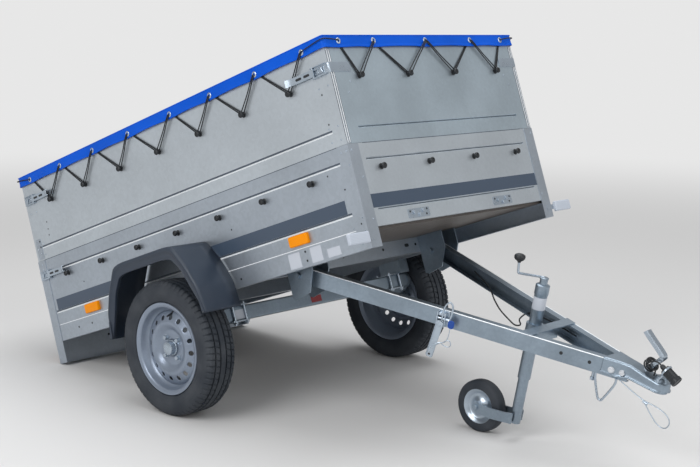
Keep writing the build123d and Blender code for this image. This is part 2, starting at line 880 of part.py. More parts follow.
# (radius, outward) points of the rim's section, the tyre's side first
rim_points = (
    (flange, rim_half),
    (seat, rim_half),
    (seat, well_front + rim_well_slope),
    (well, well_front),
    (well, rim_well_back),
    (seat, rim_well_back - rim_well_slope),
    (seat, -rim_half),
    (flange, -rim_half),
    (flange, -rim_half - rim_sheet),
    (seat - rim_sheet, -rim_half - rim_sheet),
    (seat - rim_sheet, rim_well_back - rim_well_slope + rim_well_draw),
    (well - rim_sheet, rim_well_back + rim_well_draw),
    (well - rim_sheet, well_front - rim_well_draw),
    (seat - rim_sheet, well_front + rim_well_slope - rim_well_draw),
    (seat - rim_sheet, rim_half + rim_sheet),
    (flange, rim_half + rim_sheet),
)
# (radius, outward) points of the disc's outer face, from its bore to the rim's well
disc_face = (
    (hub_radius + running_clearance, wheel_offset),
    (disc_bowl_radius, wheel_offset),
    (disc_crest_radii[0], wheel_offset + disc_crest_height),
    (disc_crest_radii[1], wheel_offset + disc_crest_height),
    (well - rim_sheet / 2, wheel_offset - disc_foot_depth),
)
disc_points = disc_face + tuple((r, out - rim_sheet) for r, out in reversed(disc_face))
# (radius, outward) points of half of the tyre's outside and of its inside, rim to crown
tyre_outside = (
    (seat, rim_half),
    (flange, rim_half),
    (seat + tyre_low_share * tyre_height, tyre_bulge - tyre_low_in),
    (seat + tyre_wide_share * tyre_height, tyre_bulge),
    (tyre_radius - tyre_shoulder[0], tyre_bulge - tyre_shoulder[1]),
    (tyre_radius - tread_edge[0], tread_half - tread_edge[1]),
    (tyre_radius, tread_half - tread_crown),
)
tyre_inside = (
    (seat, rim_half - tyre_bead),
    (seat + tyre_wide_share * tyre_height, tyre_bulge - tyre_wall),
    (tyre_radius - tread_wall, tread_half - tread_wall),
)


def mirrored(points):
    """A half outline joined to its mirror image across the wheel's middle plane."""
    return points + tuple((r, -out) for r, out in reversed(points))


hub_back = axle_half + arm_thickness + hub_gap - wheel_y
for side in (-1, 1):
    name = side_name(side)
    rest = wheel_rest * Location((0, side * wheel_y, 0))
    face = Plane(origin=(0, 0, 0), x_dir=(1, 0, 0), z_dir=(0, side, 0))
    axle_line = Axis((0, 0, 0), (0, 1, 0))
    with BuildPart() as tyre:
        with BuildSketch(Plane.XY):
            with BuildLine():
                section = mirrored(tyre_outside) + tuple(reversed(mirrored(tyre_inside)))
                Polyline(*section, close=True)
            make_face()
        revolve(axis=axle_line)
    write(tyre, f"tyre_{name}", rest)

    with BuildPart() as rim:
        for section in (rim_points, disc_points):
            with BuildSketch(Plane.XY):
                with BuildLine():
                    Polyline(*[(r, side * out) for r, out in section], close=True)
                make_face()
            revolve(axis=axle_line)
        with BuildSketch(face):
            with PolarLocations(vent_circle, vent_holes):
                Circle(vent_radius)
        extrude(amount=wheel_offset + vent_circle, mode=Mode.SUBTRACT)
        with BuildSketch(face):
            with PolarLocations(wheel_bolt_circle, wheel_bolts):
                Circle(wheel_bolt_radius + bolt_slack)
        extrude(amount=wheel_offset + vent_circle, mode=Mode.SUBTRACT)
    write(rim, f"rim_{name}", rest)

    with BuildPart() as hub:
        with BuildSketch(face.offset(hub_back)):
            Circle(hub_radius)
        extrude(amount=hub_nose - hub_back)
        with BuildSketch(face.offset(wheel_offset - rim_sheet - hub_flange)):
            Circle(hub_flange_radius)
        extrude(amount=hub_flange)
        with BuildSketch(face.offset(wheel_offset - rim_sheet)):
            with PolarLocations(wheel_bolt_circle, wheel_bolts):
                Circle(wheel_bolt_radius)
        extrude(amount=rim_sheet)
        with BuildSketch(face.offset(wheel_offset)):
            with PolarLocations(wheel_bolt_circle, wheel_bolts):
                RegularPolygon(wheel_bolt_head, 6)
        extrude(amount=wheel_bolt_head_height)
        with BuildSketch(face.offset(hub_back)):
            Circle(spindle_radius + running_clearance)
        extrude(amount=spindle_end + hub_gap - hub_back, mode=Mode.SUBTRACT)
    write(hub, f"hub_{name}", rest)

# ---- tailgate ------------------------------------------------------------------------------
gate_outer = -box_length + sheet
gate_pin_x = gate_outer - tailgate_knuckle
gate_pin_z = rail_height + tailgate_gap - tailgate_pin_drop
gate_half = half_width - rear_post_leg - tailgate_gap
gate_bottom = rail_height + tailgate_gap
gate_hooks = [
    Plane(origin=(gate_outer, place, hook_low), x_dir=(0, 1, 0), z_dir=(-1, 0, 0))
    for place in hook_places(end_hooks, end_hook_pitch)
]
write(rope_hooks(gate_hooks), "tailgate_hooks", box_rest)

with BuildPart() as tailgate:
    add(end_board(gate_outer, 1, gate_bottom, board_top - tailgate_gap, lower_grooves, gate_half))
    with BuildSketch(Plane.YZ.offset(gate_outer)):
        for side in (-1, 1):
            with Locations((side * (gate_half - catch_length / 2), latch_low)):
                Rectangle(catch_length, latch_strap_height)
    extrude(amount=-latch_metal)
    for middle in (-tailgate_hinge_offset, tailgate_hinge_offset):
        for place in (middle - tailgate_leaf, middle + tailgate_leaf):
            with BuildSketch(Plane.XZ.offset(-place - tailgate_leaf / 2)):
                with Locations((gate_pin_x, gate_pin_z)):
                    Circle(tailgate_knuckle)
                with Locations((gate_outer, gate_pin_z)):
                    Rectangle(
                        tailgate_leaf_thickness,
                        tailgate_leaf_height,
                        align=(Align.MAX, Align.MIN),
                    )
            extrude(amount=tailgate_leaf - running_gap)
    with BuildSketch(Plane.XZ.offset(-gate_half)):
        with Locations((gate_pin_x, gate_pin_z)):
            Circle(tailgate_pin_radius + running_clearance)
    extrude(amount=2 * gate_half, mode=Mode.SUBTRACT)
write(tailgate, "tailgate", box_rest)

with BuildPart() as tailgate_hinges:
    for middle in (-tailgate_hinge_offset, tailgate_hinge_offset):
        with BuildSketch(Plane.XZ.offset(-middle - (tailgate_leaf - running_gap) / 2)):
            with Locations((gate_pin_x, gate_pin_z)):
                Circle(tailgate_knuckle)
            with Locations((gate_outer, gate_pin_z)):
                Rectangle(
                    tailgate_leaf_thickness, tailgate_leaf_height, align=(Align.MAX, Align.MAX)
                )
        extrude(amount=tailgate_leaf - 2 * running_gap)
        with BuildSketch(Plane.XZ.offset(-middle - 1.5 * tailgate_leaf)):
            with Locations((gate_pin_x, gate_pin_z)):
                Circle(tailgate_pin_radius)
        extrude(amount=3 * tailgate_leaf)
write(tailgate_hinges, "tailgate_hinges", box_rest)

# ---- pivot brackets ------------------------------------------------------------------------
# side view of a bracket plate in the box frame, from its weld on the front cross-member
bracket_outline = (
    (-cross_member_backs[0], floor_bottom),
    (-pivot_back + bracket_ahead, floor_bottom),
    (-pivot_back + bracket_ahead, -bracket_shoulder),
    (-pivot_back + bracket_foot_ahead, -bracket_foot_drop),
    (-pivot_back - bracket_foot_behind, -bracket_drop),
    (-cross_member_backs[0], -bracket_heel_drop),
)
beam_outermost = pivot_half_span + beam_back * beam_spread
beam_innermost = (
    pivot_half_span - bracket_reach * beam_spread - beam_flange / cos(radians(beam_half_angle))
)
plate_rows = (beam_outermost + bracket_gap, beam_innermost - bracket_gap - bracket_plate)
for side in (-1, 1):
    with BuildPart() as bracket:
        for inner_y in plate_rows:
            with BuildSketch(Plane.XZ.offset(-side * inner_y)):
                with BuildLine():
                    Polyline(*bracket_outline, close=True)
                make_face()
            extrude(amount=-side * bracket_plate)
        with BuildSketch(Plane.XZ.offset(-side * (plate_rows[1] - pivot_bolt_head))):
            with Locations((-pivot_back, -pivot_drop)):
                Circle(pivot_bolt_radius)
        extrude(
            amount=-side * (plate_rows[0] - plate_rows[1] + bracket_plate + 2 * pivot_bolt_head)
        )
        for head_y in (plate_rows[1] - pivot_bolt_head, plate_rows[0] + bracket_plate):
            with BuildSketch(Plane.XZ.offset(-side * head_y)):
                with Locations((-pivot_back, -pivot_drop)):
                    RegularPolygon(pivot_bolt_head_radius, 6)
            extrude(amount=-side * pivot_bolt_head)
    write(bracket, f"pivot_bracket_{side_name(side)}", box_rest)

# ---- drawbar beams -------------------------------------------------------------------------
for side in (-1, 1):
    lean = radians(beam_half_angle)
    forward = Vector(cos(lean), -side * sin(lean), 0)
    inward = Vector(-sin(lean), -side * cos(lean), 0)
    root = Vector(0, side * pivot_half_span, 0) - forward * beam_back
    length = beam_back + beam_front / cos(lean)
    with BuildPart() as beam:
        with BuildSketch(Plane(origin=root, x_dir=inward, z_dir=forward)):
            with Locations((beam_flange / 2, 0)):
                Rectangle(beam_flange, beam_height)
                with Locations((beam_sheet, 0)):
                    Rectangle(beam_flange, beam_height - 2 * beam_sheet, mode=Mode.SUBTRACT)
        extrude(amount=length)
        with BuildSketch(Plane.XZ.offset(-side * (pivot_half_span + beam_flange))):
            Circle(pivot_bolt_radius + running_clearance)
        extrude(amount=side * 4 * beam_flange, mode=Mode.SUBTRACT)
    write(beam, f"drawbar_beam_{side_name(side)}", drawbar_rest)

# ---- cross brace ---------------------------------------------------------------------------
def beam_outer(along):
    """Distance of a beam's outer face from the drawbar's middle line."""
    return pivot_half_span - along * beam_spread


brace_end = brace_start + brace_width
brace_drop_half = beam_outer(brace_end) - beam_flange / cos(radians(beam_half_angle)) - 3
with BuildPart() as brace:
    with BuildSketch(Plane.XY.offset(beam_height / 2)):
        with BuildLine():
            Polyline(
                (brace_start, -beam_outer(brace_start)),
                (brace_end, -beam_outer(brace_end)),
                (brace_end, beam_outer(brace_end)),
                (brace_start, beam_outer(brace_start)),
                close=True,
            )
        make_face()
    extrude(amount=brace_sheet)
    with BuildSketch(Plane.XY.offset(beam_height / 2)):
        with Locations((brace_start + brace_sheet / 2, 0)):
            Rectangle(brace_sheet, 2 * brace_drop_half)
    extrude(amount=-beam_height)
write(brace, "drawbar_brace", drawbar_rest)

# ---- coupling ------------------------------------------------------------------------------
ball_along = coupling_nose - coupling_nose_radius
waist_half = beam_outer(coupling_waist) + coupling_sheet / cos(radians(beam_half_angle))


def coupling_form(shrink, low_rows, top_rows):
    """The coupling's outline seen from above, kept between two edges seen from the side.

    Each row holds a distance along the drawbar and a height. The outline follows the beams up to
    the waist and then narrows to a round nose.
    """
    skew = shrink / cos(radians(beam_half_angle))
    start = coupling_start - 1 if shrink > 0 else coupling_start
    start_half = beam_outer(start) + coupling_sheet / cos(radians(beam_half_angle)) - skew
    neck_half = coupling_neck_half - shrink
    with BuildPart() as form:
        with BuildSketch(Plane.XY.offset(-beam_height)):
            with BuildLine():
                Polyline(
                    (ball_along, -coupling_nose_radius + shrink),
                    (coupling_neck, -neck_half),
                    (coupling_waist, skew - waist_half),
                    (start, -start_half),
                    (start, start_half),
                    (coupling_waist, waist_half - skew),
                    (coupling_neck, neck_half),
                    (ball_along, coupling_nose_radius - shrink),
                )
                ThreePointArc(
                    (ball_along, coupling_nose_radius - shrink),
                    (coupling_nose - shrink, 0),
                    (ball_along, -coupling_nose_radius + shrink),
                )
            make_face()
        extrude(amount=2 * beam_height)
        with BuildSketch(Plane.XZ.offset(-beam_height * 2)):
            with BuildLine():
                Polyline(*low_rows, *reversed(top_rows), close=True)
            make_face()
        extrude(amount=beam_height * 4, mode=Mode.INTERSECT)
    return form


coupling_lip = [(x, z + coupling_sheet) for x, z in coupling_edge]
coupling_inside = [(x, z - coupling_sheet) for x, z in coupling_top]
below = [(x, z - coupling_sheet) for x, z in coupling_edge]
with BuildPart() as coupling:
    add(coupling_form(0.0, coupling_edge, coupling_top))
    add(coupling_form(-coupling_flange, coupling_edge, coupling_lip))
    add(coupling_form(coupling_sheet, below, coupling_inside), mode=Mode.SUBTRACT)
    with BuildSketch(Plane.XY.offset(coupling_socket_top - ball_radius)):
        with Locations((ball_along, 0)):
            Circle(ball_radius)
    extrude(amount=ball_radius)
    with BuildSketch(Plane.XY.offset(-beam_height)):
        with Locations((ball_along, 0)):
            Circle(ball_radius - coupling_sheet)
    extrude(amount=beam_height + coupling_socket_top - coupling_sheet, mode=Mode.SUBTRACT)
    # ring that the plug is parked in, on its stalk
    with BuildSketch(plug_plane.offset(plug_ring_at)):
        Circle(plug_radius + plug_ring_wall)
        Circle(plug_radius + running_clearance, mode=Mode.SUBTRACT)
    extrude(amount=plug_ring_length)
    with BuildSketch(Plane.XZ.offset(-plug_side - plug_stalk_width / 2)):
        with BuildLine():
            Polyline(*plug_stalk, close=True)
        make_face()
    extrude(amount=plug_stalk_width)
write(coupling, "coupling", drawbar_rest)

with BuildPart() as handle:
    with BuildSketch(Plane.XZ.offset(-handle_width / 2)):
        with BuildLine():
            Polyline(*handle_outline, close=True)
        make_face()
    extrude(amount=handle_width)
write(handle, "coupling_handle", drawbar_rest)

# ---- lighting cable and plug ---------------------------------------------------------------
with BuildPart() as lighting_plug:
    with BuildSketch(plug_plane):
        Circle(plug_radius)
    extrude(amount=plug_barrel)
    with BuildSketch(plug_plane):
        Circle(plug_rim)
    extrude(amount=plug_rim_length)
    with BuildSketch(plug_plane.offset(plug_barrel)):
        Circle(plug_neck)
    extrude(amount=plug_length - plug_barrel)
write(lighting_plug, "lighting_plug", drawbar_rest)

# the spare cable is wound round the coupling lever's foot
with BuildPart() as lighting_coil:
    with BuildSketch(coil_plane.offset(-coil_height / 2)):
        RectangleRounded(coil_length, coil_width, coil_corner)
        RectangleRounded(
            coil_length - 2 * coil_band, coil_width - 2 * coil_band, coil_corner - coil_band,
            mode=Mode.SUBTRACT,
        )
    extrude(amount=coil_height)
write(lighting_coil, "lighting_coil", drawbar_rest)


def cable_radii(points):
    """Radius at each corner of a route: 0.45 of the shorter run over the tangent of half the turn."""
    route = [Vector(*point) for point in points]
    radii = []
    for before, here, after in zip(route, route[1:], route[2:]):
        turn = radians((here - before).get_angle(after - here))
        radii.append(0.45 * min((here - before).length, (after - here).length) / tan(turn / 2))
    return radii


def cable(points, radius, name):
    """A round cable along a route of straight runs joined by arcs."""
    radii = cable_radii(points)
    print(name, "radii:", ", ".join(f"{r:.1f}" for r in radii))
    start = Vector(*points[0])
    with BuildPart() as tube:
        with BuildLine() as line:
            FilletPolyline(*points, radius=radii)
        with BuildSketch(Plane(origin=start, z_dir=Vector(*points[1]) - start)):
            Circle(radius)
        sweep(path=line.line)
    print(name, "volume over section times length:",
          round(tube.part.volume / (pi * radius**2 * line.wires()[0].length), 4))
    write(tube, name, drawbar_rest)


cable(lead_route, lead_radius, "lighting_lead")
cable(wire_route, wire_radius, "breakaway_wire")

with BuildPart() as breakaway_loop:
    with BuildSketch(Plane.XZ.offset(-wire_route[-1][1] - wire_radius)):
        with BuildLine():
            Polyline(*loop_outline, close=True)
        make_face()
        offset(amount=-2 * wire_radius, mode=Mode.SUBTRACT)
    extrude(amount=2 * wire_radius)
write(breakaway_loop, "breakaway_loop", drawbar_rest)

with BuildPart() as safety_ring:
    with BuildSketch(Plane.XZ.offset(ring_side)):
        with BuildLine():
            Polyline(*ring_outline, close=True)
        make_face()
        with BuildLine():
            Polyline(*ring_opening, close=True)
        make_face(mode=Mode.SUBTRACT)
    extrude(amount=2 * ring_rod)
write(safety_ring, "safety_ring", drawbar_rest)

# ---- tip latch -----------------------------------------------------------------------------
latch_plane_y = -beam_outer(latch_along - latch_width / 2)
with BuildPart() as tip_latch:
    with BuildSketch(Plane.XZ.offset(-latch_plane_y)):
        with Locations((latch_along, 0)):
            Rectangle(latch_width, beam_height)
    extrude(amount=latch_depth)
    with BuildSketch(Plane.XZ.offset(-latch_plane_y + latch_depth)):
        with Locations((latch_along, -latch_drop / 2)):
            Rectangle(latch_width * 0.6, latch_drop + beam_height / 2)
    extrude(amount=latch_plate)
write(tip_latch, "tip_latch", drawbar_rest)

# ---- jockey wheel --------------------------------------------------------------------------
jockey_bore = jockey_tube_radius - jockey_tube_wall
jockey_inner = jockey_bore - running_clearance
with BuildPart() as jockey_tube:
    with BuildSketch(Plane.XY.offset(jockey_tube_bottom)):
        with Locations((jockey_along, jockey_side)):
            Circle(jockey_tube_radius)
            Circle(jockey_bore, mode=Mode.SUBTRACT)
    extrude(amount=jockey_tube_top - jockey_tube_bottom)
    with BuildSketch(Plane.XY.offset(jockey_tube_top - jockey_tube_wall)):
        with Locations((jockey_along, jockey_side)):
            Circle(jockey_bore)
    extrude(amount=jockey_cap + jockey_tube_wall)
write(jockey_tube, "jockey_tube", drawbar_rest)

with BuildPart() as jockey_clamp:
    with BuildSketch(Plane.XY.offset(-clamp_height / 2)):
        with Locations((jockey_along, jockey_side)):
            Circle(jockey_tube_radius + clamp_wall)
        with Locations((brace_start, jockey_side)):
            Rectangle(jockey_behind, clamp_lug, align=(Align.MAX, Align.CENTER))
        with Locations((jockey_along, jockey_side)):
            Circle(jockey_tube_radius, mode=Mode.SUBTRACT)
    extrude(amount=clamp_height)
write(jockey_clamp, "jockey_clamp", drawbar_rest)

crank_height = jockey_tube_top + jockey_cap
with BuildPart() as crank:
    with BuildSketch(Plane.XY.offset(crank_height)):
        with Locations((jockey_along - crank_reach / 2, jockey_side)):
            SlotCenterToCenter(crank_reach, 2 * crank_rod)
    extrude(amount=2 * crank_rod)
    with BuildSketch(Plane.XY.offset(crank_height)):
        with Locations((jockey_along - crank_reach, jockey_side)):
            Circle(crank_rod)
    extrude(amount=crank_knob_stem)
    with BuildSketch(Plane.XY.offset(crank_height + crank_knob_stem)):
        with Locations((jockey_along - crank_reach, jockey_side)):
            Circle(crank_knob)
    extrude(amount=crank_knob_height)
write(crank, "jockey_crank", drawbar_rest)

hub_z = -jockey_hub_drop
with BuildPart() as jockey_leg:
    with BuildSketch(Plane.XY.offset(hub_z)):
        with Locations((jockey_along, jockey_side)):
            Circle(jockey_inner)
            Circle(jockey_inner - jockey_tube_wall, mode=Mode.SUBTRACT)
    extrude(amount=jockey_tube_bottom + jockey_overlap - hub_z)
    with BuildSketch(Plane.XY.offset(hub_z)):
        with Locations((jockey_along, jockey_side)):
            Rectangle(2 * jockey_tube_radius, jockey_hub_width + 2 * fork_plate + 2 * fork_gap)
    extrude(amount=fork_block)
    for side in (-1, 1):
        fork_y = jockey_side + side * (jockey_hub_width / 2 + fork_gap)
        with BuildSketch(Plane.XZ.offset(-fork_y)):
            with BuildLine():
                Polyline(
                    (jockey_hub_along, hub_z - fork_eye),
                    (jockey_along + jockey_tube_radius, hub_z),
                    (jockey_along + jockey_tube_radius, hub_z + fork_block),
                    (jockey_hub_along, hub_z + fork_eye),
                )
                ThreePointArc(
                    (jockey_hub_along, hub_z + fork_eye),
                    (jockey_hub_along - fork_eye, hub_z),
                    (jockey_hub_along, hub_z - fork_eye),
                )
            make_face()
        extrude(amount=-side * fork_plate)
    with BuildSketch(Plane.XZ.offset(-jockey_side - jockey_hub_width / 2 - fork_gap - fork_plate)):
        with Locations((jockey_hub_along, hub_z)):
            Circle(jockey_pin_radius)
    extrude(amount=jockey_hub_width + 2 * fork_gap + 2 * fork_plate)
write(jockey_leg, "jockey_leg", drawbar_rest)

jockey_rest = drawbar_rest * Location((jockey_hub_along, jockey_side, hub_z))
with BuildPart() as jockey_rim:
    with BuildSketch(Plane.XZ.offset(-jockey_hub_width / 2)):
        Circle(jockey_boss)
    extrude(amount=jockey_hub_width)
    with BuildSketch(Plane.XZ.offset(-jockey_wheel_width / 2)):
        Circle(jockey_rim_radius)
    extrude(amount=jockey_wheel_width)
    with BuildSketch(Plane.XZ.offset(-jockey_hub_width / 2)):
        Circle(jockey_pin_radius + running_clearance)
    extrude(amount=jockey_hub_width, mode=Mode.SUBTRACT)
write(jockey_rim, "jockey_rim", jockey_rest)

with BuildPart() as jockey_tyre:
    with BuildSketch(Plane.XY):
        with BuildLine():
            half = jockey_wheel_width / 2
            Polyline(
                (jockey_rim_radius, -half),
                (jockey_wheel_radius - jockey_edge[0], -half),
                (jockey_wheel_radius, -half + jockey_edge[1]),
                (jockey_wheel_radius, half - jockey_edge[1]),
                (jockey_wheel_radius - jockey_edge[0], half),
                (jockey_rim_radius, half),
                close=True,
            )
        make_face()
    revolve(axis=Axis((0, 0, 0), (0, 1, 0)))
write(jockey_tyre, "jockey_tyre", jockey_rest)
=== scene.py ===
"""Looks of a tipping box trailer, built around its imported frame.

Two local frames are used besides the world's, both in millimetres with X forward, Y to the left
and Z up. The box frame starts at the middle of the box front, level with the bottom of the side
rails. The drawbar frame starts midway between the two pivot bolts. Points are arrays whose last
axis holds x, y and z, and Leaning.world carries them into the world's metres.
"""
from __future__ import annotations

import json
import logging
from dataclasses import dataclass, field
from enum import Enum
from typing import Callable, ClassVar, Iterable, Sequence

import bmesh
import bpy
import numpy as np
from mathutils import Matrix

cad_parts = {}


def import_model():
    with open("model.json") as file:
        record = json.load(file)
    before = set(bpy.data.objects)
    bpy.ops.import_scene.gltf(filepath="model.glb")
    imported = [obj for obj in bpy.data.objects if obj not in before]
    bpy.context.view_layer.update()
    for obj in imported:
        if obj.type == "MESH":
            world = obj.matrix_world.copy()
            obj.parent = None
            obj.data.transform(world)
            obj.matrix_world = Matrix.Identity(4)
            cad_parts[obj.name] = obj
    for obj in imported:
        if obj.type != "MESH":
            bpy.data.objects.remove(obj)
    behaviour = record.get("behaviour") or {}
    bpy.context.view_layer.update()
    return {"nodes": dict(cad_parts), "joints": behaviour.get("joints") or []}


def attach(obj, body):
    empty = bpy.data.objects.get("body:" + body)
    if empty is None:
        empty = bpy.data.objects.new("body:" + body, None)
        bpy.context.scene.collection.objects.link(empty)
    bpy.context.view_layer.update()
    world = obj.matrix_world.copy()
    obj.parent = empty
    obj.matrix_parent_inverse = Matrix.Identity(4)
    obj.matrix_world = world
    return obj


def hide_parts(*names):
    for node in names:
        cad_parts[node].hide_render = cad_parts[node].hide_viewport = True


log = logging.getLogger("trailer")
Pair = tuple[float, float]
Triple = tuple[float, float, float]
Rows = Sequence[Sequence[float]]
Array = np.ndarray
MM = 0.001
SAME_PLACE = 0.02 * MM
BEVEL_FROM = 30.0


# ---- local frames ----
@dataclass(frozen=True)
class Leaning:
    """A local frame in millimetres, turned about the world's Y axis.

    A local point (x, y, z) lies at anchor + (x' cos a - z' sin a, y, x' sin a + z' cos a), where x'
    and z' are counted from start and a is the lean.
    """

    start: Pair
    anchor: Pair
    lean: float

    def world(self, points: Array) -> Array:
        """Carry local points into the world.

        Args:
            points: Array whose last axis holds x, y and z in millimetres.

        Returns:
            The same array in world metres.
        """
        points = np.asarray(points, float)
        ahead = (points[..., 0] - self.start[0]) * MM
        above = (points[..., 2] - self.start[1]) * MM
        cos, sin = np.cos(self.lean), np.sin(self.lean)
        return np.stack([self.anchor[0] + ahead * cos - above * sin, points[..., 1] * MM,
                         self.anchor[1] + ahead * sin + above * cos], -1)

    def turn(self, directions: Array) -> Array:
        """Turn local directions into the world, without moving them."""
        return (self.world(directions) - self.world(np.zeros(3))) / MM


@dataclass
class Frames:
    """The frames that the pieces are placed in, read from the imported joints."""

    joints: list[dict]
    axle_start: Pair = (-1033.0, -159.0)
    pivot_start: Pair = (-505.0, -11.0)
    fold: float = np.radians(30.55)
    box: Leaning = field(init=False)
    drawbar: Leaning = field(init=False)
    wheel: Leaning = field(init=False)

    def __post_init__(self) -> None:
        """Find the lean of the box from where its pivot lies against its axle."""
        place = {j["name"]: j.get("pos_m") for j in self.joints}
        axle, pivot = place["wheel_right_spin"], place["drawbar_tip"]
        local = np.subtract(self.pivot_start, self.axle_start)
        lean = np.arctan2(pivot[2] - axle[2], pivot[0] - axle[0]) - np.arctan2(local[1], local[0])
        self.box = Leaning(self.axle_start, (axle[0], axle[2]), float(lean))
        self.drawbar = Leaning((0.0, 0.0), (pivot[0], pivot[2]), float(lean - self.fold))
        self.wheel = Leaning((0.0, 0.0), (axle[0], axle[2]), 0.0)


# ---- shaders ----
def tint(red: float, green: float, blue: float) -> Triple:
    """Turn a display colour into a linear one.

    Args:
        red, green, blue: The display colour, from 0 to 255.

    Returns:
        The linear colour, from 0 to 1.
    """
    share = np.array([red, green, blue], float) / 255
    linear = np.where(share <= 0.04045, share / 12.92, ((share + 0.055) / 1.055) ** 2.4)
    return tuple(float(x) for x in linear)


class Signal:
    """A shader socket that takes part in sums."""

    def __init__(self, graph: Graph, socket: bpy.types.NodeSocket) -> None:
        """Wrap an output of one of the graph's nodes."""
        self.graph, self.socket = graph, socket

    def _math(self, operation: str, *values: Signal | float) -> Signal:
        """Put values through a Math node."""
        return self.graph.signal("Math", {"operation": operation}, dict(enumerate(values)))

    def __add__(self, other: Signal | float) -> Signal:
        """self + other."""
        return self._math("ADD", self, other)

    def __sub__(self, other: Signal | float) -> Signal:
        """self - other."""
        return self._math("SUBTRACT", self, other)

    def __rsub__(self, other: float) -> Signal:
        """other - self."""
        return self._math("SUBTRACT", other, self)

    def __mul__(self, other: Signal | float) -> Signal:
        """self times other."""
        return self._math("MULTIPLY", self, other)

    def __truediv__(self, other: Signal | float) -> Signal:
        """self over other."""
        return self._math("DIVIDE", self, other)

    def __pow__(self, other: float) -> Signal:
        """self to the power of other."""
        return self._math("POWER", self, other)

    __radd__, __rmul__ = __add__, __mul__

    def most(self, other: Signal | float) -> Signal:
        """The larger of self and other."""
        return self._math("MAXIMUM", self, other)

    def between(self, low: float, high: float) -> Signal:
        """0 at low and below, 1 at high and above, with soft ends."""
        soft = {"interpolation_type": "SMOOTHSTEP"}
        return self.graph.signal("MapRange", soft, {0: self, 1: low, 2: high})

    def wave(self, period: float) -> Signal:
        """Sine of self over period, moved into 0 to 1."""
        return self._math("SINE", self * (2 * np.pi / period)) * 0.5 + 0.5

    def part(self, axis: int) -> Signal:
        """One part of a vector or colour."""
        return self.graph.signal("SeparateXYZ", {}, {0: self}, axis)


class Graph:
    """Nodes under construction in an emptied tree."""

    def __init__(self, tree: bpy.types.NodeTree) -> None:
        """Empty the tree."""
        self.tree = tree
        tree.nodes.clear()

    def feed(self, socket: bpy.types.NodeSocket, value: Signal | float | Sequence[float]) -> None:
        """Give a socket its input.

        Args:
            socket: The input socket.
            value: A Signal to link, or a number, colour or vector to set.
        """
        if isinstance(value, Signal):
            self.tree.links.new(value.socket, socket)
        elif socket.type == "RGBA" and len(value) == 3:
            socket.default_value = (*value, 1.0)
        else:
            socket.default_value = value

    def node(self, kind: str, settings: dict | None = None, inputs: dict | None = None) -> bpy.types.Node:
        """Add a node.

        Args:
            kind: The node's type without the leading ShaderNode.
            settings: Attributes to set before the sockets.
            inputs: Socket name or number to a Signal, number, colour or vector.

        Returns:
            The new node.
        """
        made = self.tree.nodes.new("ShaderNode" + kind)
        for key, value in (settings or {}).items():
            setattr(made, key, value)
        for key, value in (inputs or {}).items():
            self.feed(made.inputs[key], value)
        return made

    def signal(self, kind: str, settings: dict | None = None, inputs: dict | None = None,
               output: int | str = 0) -> Signal:
        """Add a node as above, and give the output that is named or numbered."""
        return Signal(self, self.node(kind, settings, inputs).outputs[output])

    def rays(self, kind: str) -> Signal:
        """1 where the ray is of a kind, such as Camera."""
        return self.signal("LightPath", output=f"Is {kind} Ray")


class Shader(Graph):
    """A material under construction, around one Principled shader."""

    def __init__(self, name: str) -> None:
        """Start a material that holds the shader alone.

        Args:
            name: The material's name.
        """
        self.material = bpy.data.materials.new(name)
        self.material.use_nodes = True
        super().__init__(self.material.node_tree)
        self.output = self.node("OutputMaterial")
        self.skin = self.node("BsdfPrincipled")
        self.tree.links.new(self.skin.outputs[0], self.output.inputs[0])

    def where(self, surface: bool = False) -> Signal:
        """Object coordinates, or the piece's own UV map for a pattern that follows its surface."""
        return self.signal("TexCoord", output="UV" if surface else "Object")

    def noise(self, size: float, detail: float = 2.0, at: Signal | None = None) -> Signal:
        """Cloudy noise from 0 to 1 whose patches are about size metres across."""
        inputs = {"Vector": at or self.where(), "Scale": 1 / size, "Detail": detail}
        return self.signal("TexNoise", {}, inputs)

    def cells(self, size: float, output: str = "Color") -> Signal:
        """Cells about size metres across, as a random colour each or the distance to a centre."""
        return self.signal("TexVoronoi", {}, {"Vector": self.where(), "Scale": 1 / size}, output)

    def mix(self, share: Signal | float, low: Signal | Triple, high: Signal | Triple) -> Signal:
        """Triple that goes from low to high as share goes from 0 to 1."""
        return self.signal("Mix", {"data_type": "RGBA"}, {0: share, 6: low, 7: high}, 2)

    def bump(self, height: Signal, depth: float) -> Signal:
        """Normal of a surface raised by height times depth metres."""
        return self.signal("Bump", {}, {"Height": height, "Distance": depth, "Strength": 1.0})

    def finish(self, **sockets: Signal | float | Triple) -> bpy.types.Material:
        """Set the Principled shader's sockets.

        Args:
            **sockets: Values by socket name, short for some and with _ for a space.

        Returns:
            The finished material.
        """
        short = {"base": "Base Color", "coat": "Coat Weight", "ior": "IOR"}
        for key, value in sockets.items():
            self.feed(self.skin.inputs[short.get(key, key.replace("_", " ").title())], value)
        return self.material


def paler(colour: Triple, share: float) -> Triple:
    """Triple times share."""
    return tuple(c * share for c in colour)


@dataclass(frozen=True)
class Finish:
    """A surface finish, whose material is made once."""

    name: str
    colour: Triple
    roughness: float = 0.5

    def material(self) -> bpy.types.Material:
        """Give the finish's material, made on its first use."""
        found = bpy.data.materials.get(self.name)
        return found or self.compose()

    def compose(self) -> bpy.types.Material:
        """Build the material."""
        raise NotImplementedError


